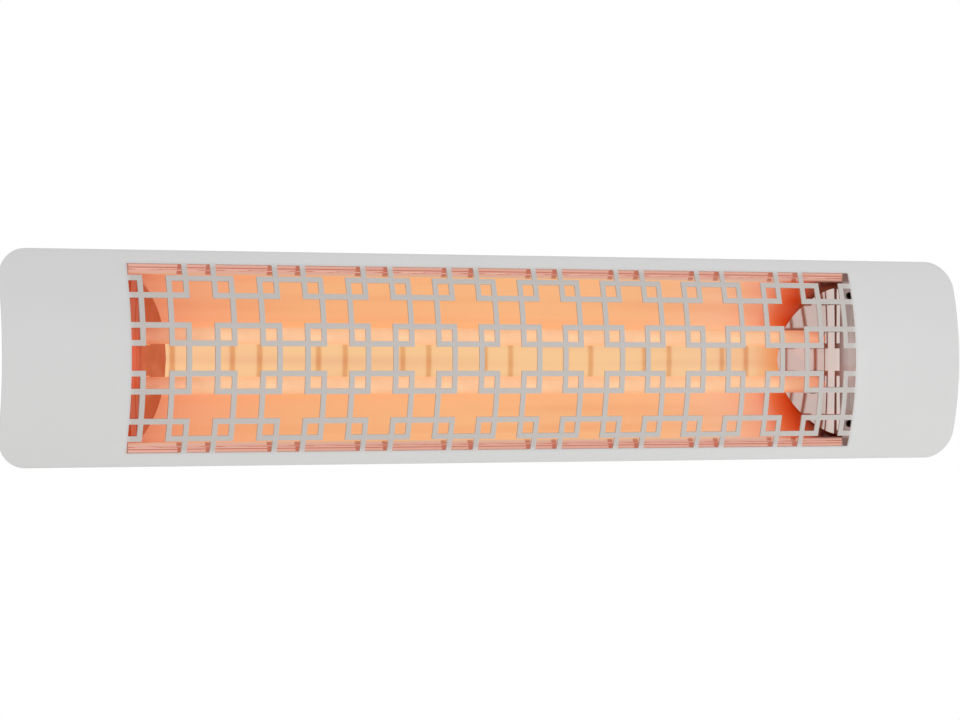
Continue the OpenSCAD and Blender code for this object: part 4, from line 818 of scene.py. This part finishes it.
# ---- Wiring ----
# Stranded leads in braided glass sleeves run from crimped ring terminals on the studs to the terminal block;
# a green one earths the housing. All of them are fixed at both ends inside the housing.
def braided(name, first, second, stripe=None):
    """A braided glass sleeve: two strand colours crossing at 1.2 mm, with 5 mm stripes where it has them."""
    sleeve, tree, shader, where = started(name, {"Roughness": 0.75, "Sheen Weight": 0.3})
    weave = add(tree, "ShaderNodeTexWave", {"Vector": where.outputs["Object"], "Scale": 260.0, "Distortion": 1.0},
                bands_direction="DIAGONAL")
    over = weave.outputs["Fac"]
    tone = add(tree, "ShaderNodeMix", {0: over, 6: linear(first), 7: linear(second)}, data_type="RGBA")
    colour = tone.outputs[2]
    if stripe:
        bands = add(tree, "ShaderNodeTexWave", {"Vector": where.outputs["Object"], "Scale": 60.0},
                    bands_direction="DIAGONAL")
        sharp = add(tree, "ShaderNodeMapRange", {0: bands.outputs["Fac"], 1: 0.62, 2: 0.68})
        colour = add(tree, "ShaderNodeMix", {0: sharp, 6: colour, 7: linear(stripe)}, data_type="RGBA").outputs[2]
    tree.links.new(colour, shader.inputs["Base Color"])
    strands = add(tree, "ShaderNodeBump", {"Height": over, "Strength": 0.5, "Distance": 0.0003})
    tree.links.new(strands.outputs[0], shader.inputs["Normal"])
    return sleeve


white_sleeve = braided("white_glass_braid", "#D8D2C4", "#F0ECE2")
earth_sleeve = braided("green_and_yellow_glass_braid", "#3E7A34", "#5B9A48", "#D9C83E")
for node, sleeve in (("jumper_lead", white_sleeve), ("upper_lead", white_sleeve), ("lower_lead", white_sleeve),
                     ("earth_lead", earth_sleeve)):
    softened(node, sleeve, 0, 60)

# Tinned copper: soft pale metal with a slight straw tint and rubbed spots 3 mm across.
tinned, tree, shader, where = started("tinned_copper", {"Metallic": 1.0})
rub = add(tree, "ShaderNodeTexNoise", {"Vector": where.outputs["Object"], "Scale": 300.0, "Detail": 4.0})
tone = add(tree, "ShaderNodeMix", {0: rub, 6: linear("#BDB8AB"), 7: linear("#D9D5C8")}, data_type="RGBA")
tree.links.new(tone.outputs[2], shader.inputs["Base Color"])
rough = add(tree, "ShaderNodeMapRange", {0: rub, 3: 0.25, 4: 0.45})
tree.links.new(rough.outputs[0], shader.inputs["Roughness"])
softened("ring_terminals", tinned, 0.1)

# Turned brass: warm yellow, with a little tarnish in 5 mm patches.
brass, tree, shader, where = started("turned_brass", {"Metallic": 1.0})
tarnish = add(tree, "ShaderNodeTexNoise", {"Vector": where.outputs["Object"], "Scale": 180.0, "Detail": 4.0})
tone = add(tree, "ShaderNodeMix", {0: tarnish, 6: linear("#A8843F"), 7: linear("#D4B36A")}, data_type="RGBA")
tree.links.new(tone.outputs[2], shader.inputs["Base Color"])
rough = add(tree, "ShaderNodeMapRange", {0: tarnish, 3: 0.22, 4: 0.4})
tree.links.new(rough.outputs[0], shader.inputs["Roughness"])
for node in ("terminal_inserts", "earth_stud", "earth_nut", "pivot_bushes"):
    softened(node, brass, 0.12)


# ---- Gland, seal and gasket ----
# A moulded nylon cable gland, screwed through the housing's back by its lock nut, and a moulded silicone
# gasket under the wiring cover. No cable is fitted.
# Moulded nylon is deep grey-black with a soft sheen and a fine spark-eroded grain, drawn at 0.6 mm so that it
# shows.
nylon, tree, shader, where = started("moulded_black_nylon")
grain = add(tree, "ShaderNodeTexNoise", {"Vector": where.outputs["Object"], "Scale": 1600.0, "Detail": 2.0})
tone = add(tree, "ShaderNodeMix", {0: grain, 6: linear("#1A1A1C"), 7: linear("#26262A")}, data_type="RGBA")
tree.links.new(tone.outputs[2], shader.inputs["Base Color"])
soft = add(tree, "ShaderNodeMapRange", {0: grain, 3: 0.38, 4: 0.52})
tree.links.new(soft.outputs[0], shader.inputs["Roughness"])
texture = add(tree, "ShaderNodeBump", {"Height": grain, "Strength": 0.15, "Distance": 0.0001})
tree.links.new(texture.outputs[0], shader.inputs["Normal"])
for node in ("gland_body", "gland_lock_nut", "gland_cap"):
    softened(node, nylon, 0.25)

# Silicone is matt dark grey, with dust caught on it in paler patches 4 mm across.
silicone, tree, shader, where = started("moulded_silicone")
dust = add(tree, "ShaderNodeTexNoise", {"Vector": where.outputs["Object"], "Scale": 260.0, "Detail": 5.0})
tone = add(tree, "ShaderNodeMix", {0: dust, 6: linear("#333336"), 7: linear("#4C4B4A")}, data_type="RGBA")
tree.links.new(tone.outputs[2], shader.inputs["Base Color"])
matted = add(tree, "ShaderNodeMapRange", {0: dust, 3: 0.6, 4: 0.85})
tree.links.new(matted.outputs[0], shader.inputs["Roughness"])
softened("gland_seal", silicone, 0.2)
softened("service_cover_gasket", silicone, 0.15)


# ---- Wall and hinge brackets ----
# Two folded steel wall brackets with ears, screwed to the wall, carry the pivot bolts; two matching hinge
# brackets are screwed to the housing's back. All four have the housing's powder coat.
for node in ("wall_bracket_left", "wall_bracket_right", "hinge_bracket_left", "hinge_bracket_right"):
    softened(node, powder, 0.4)
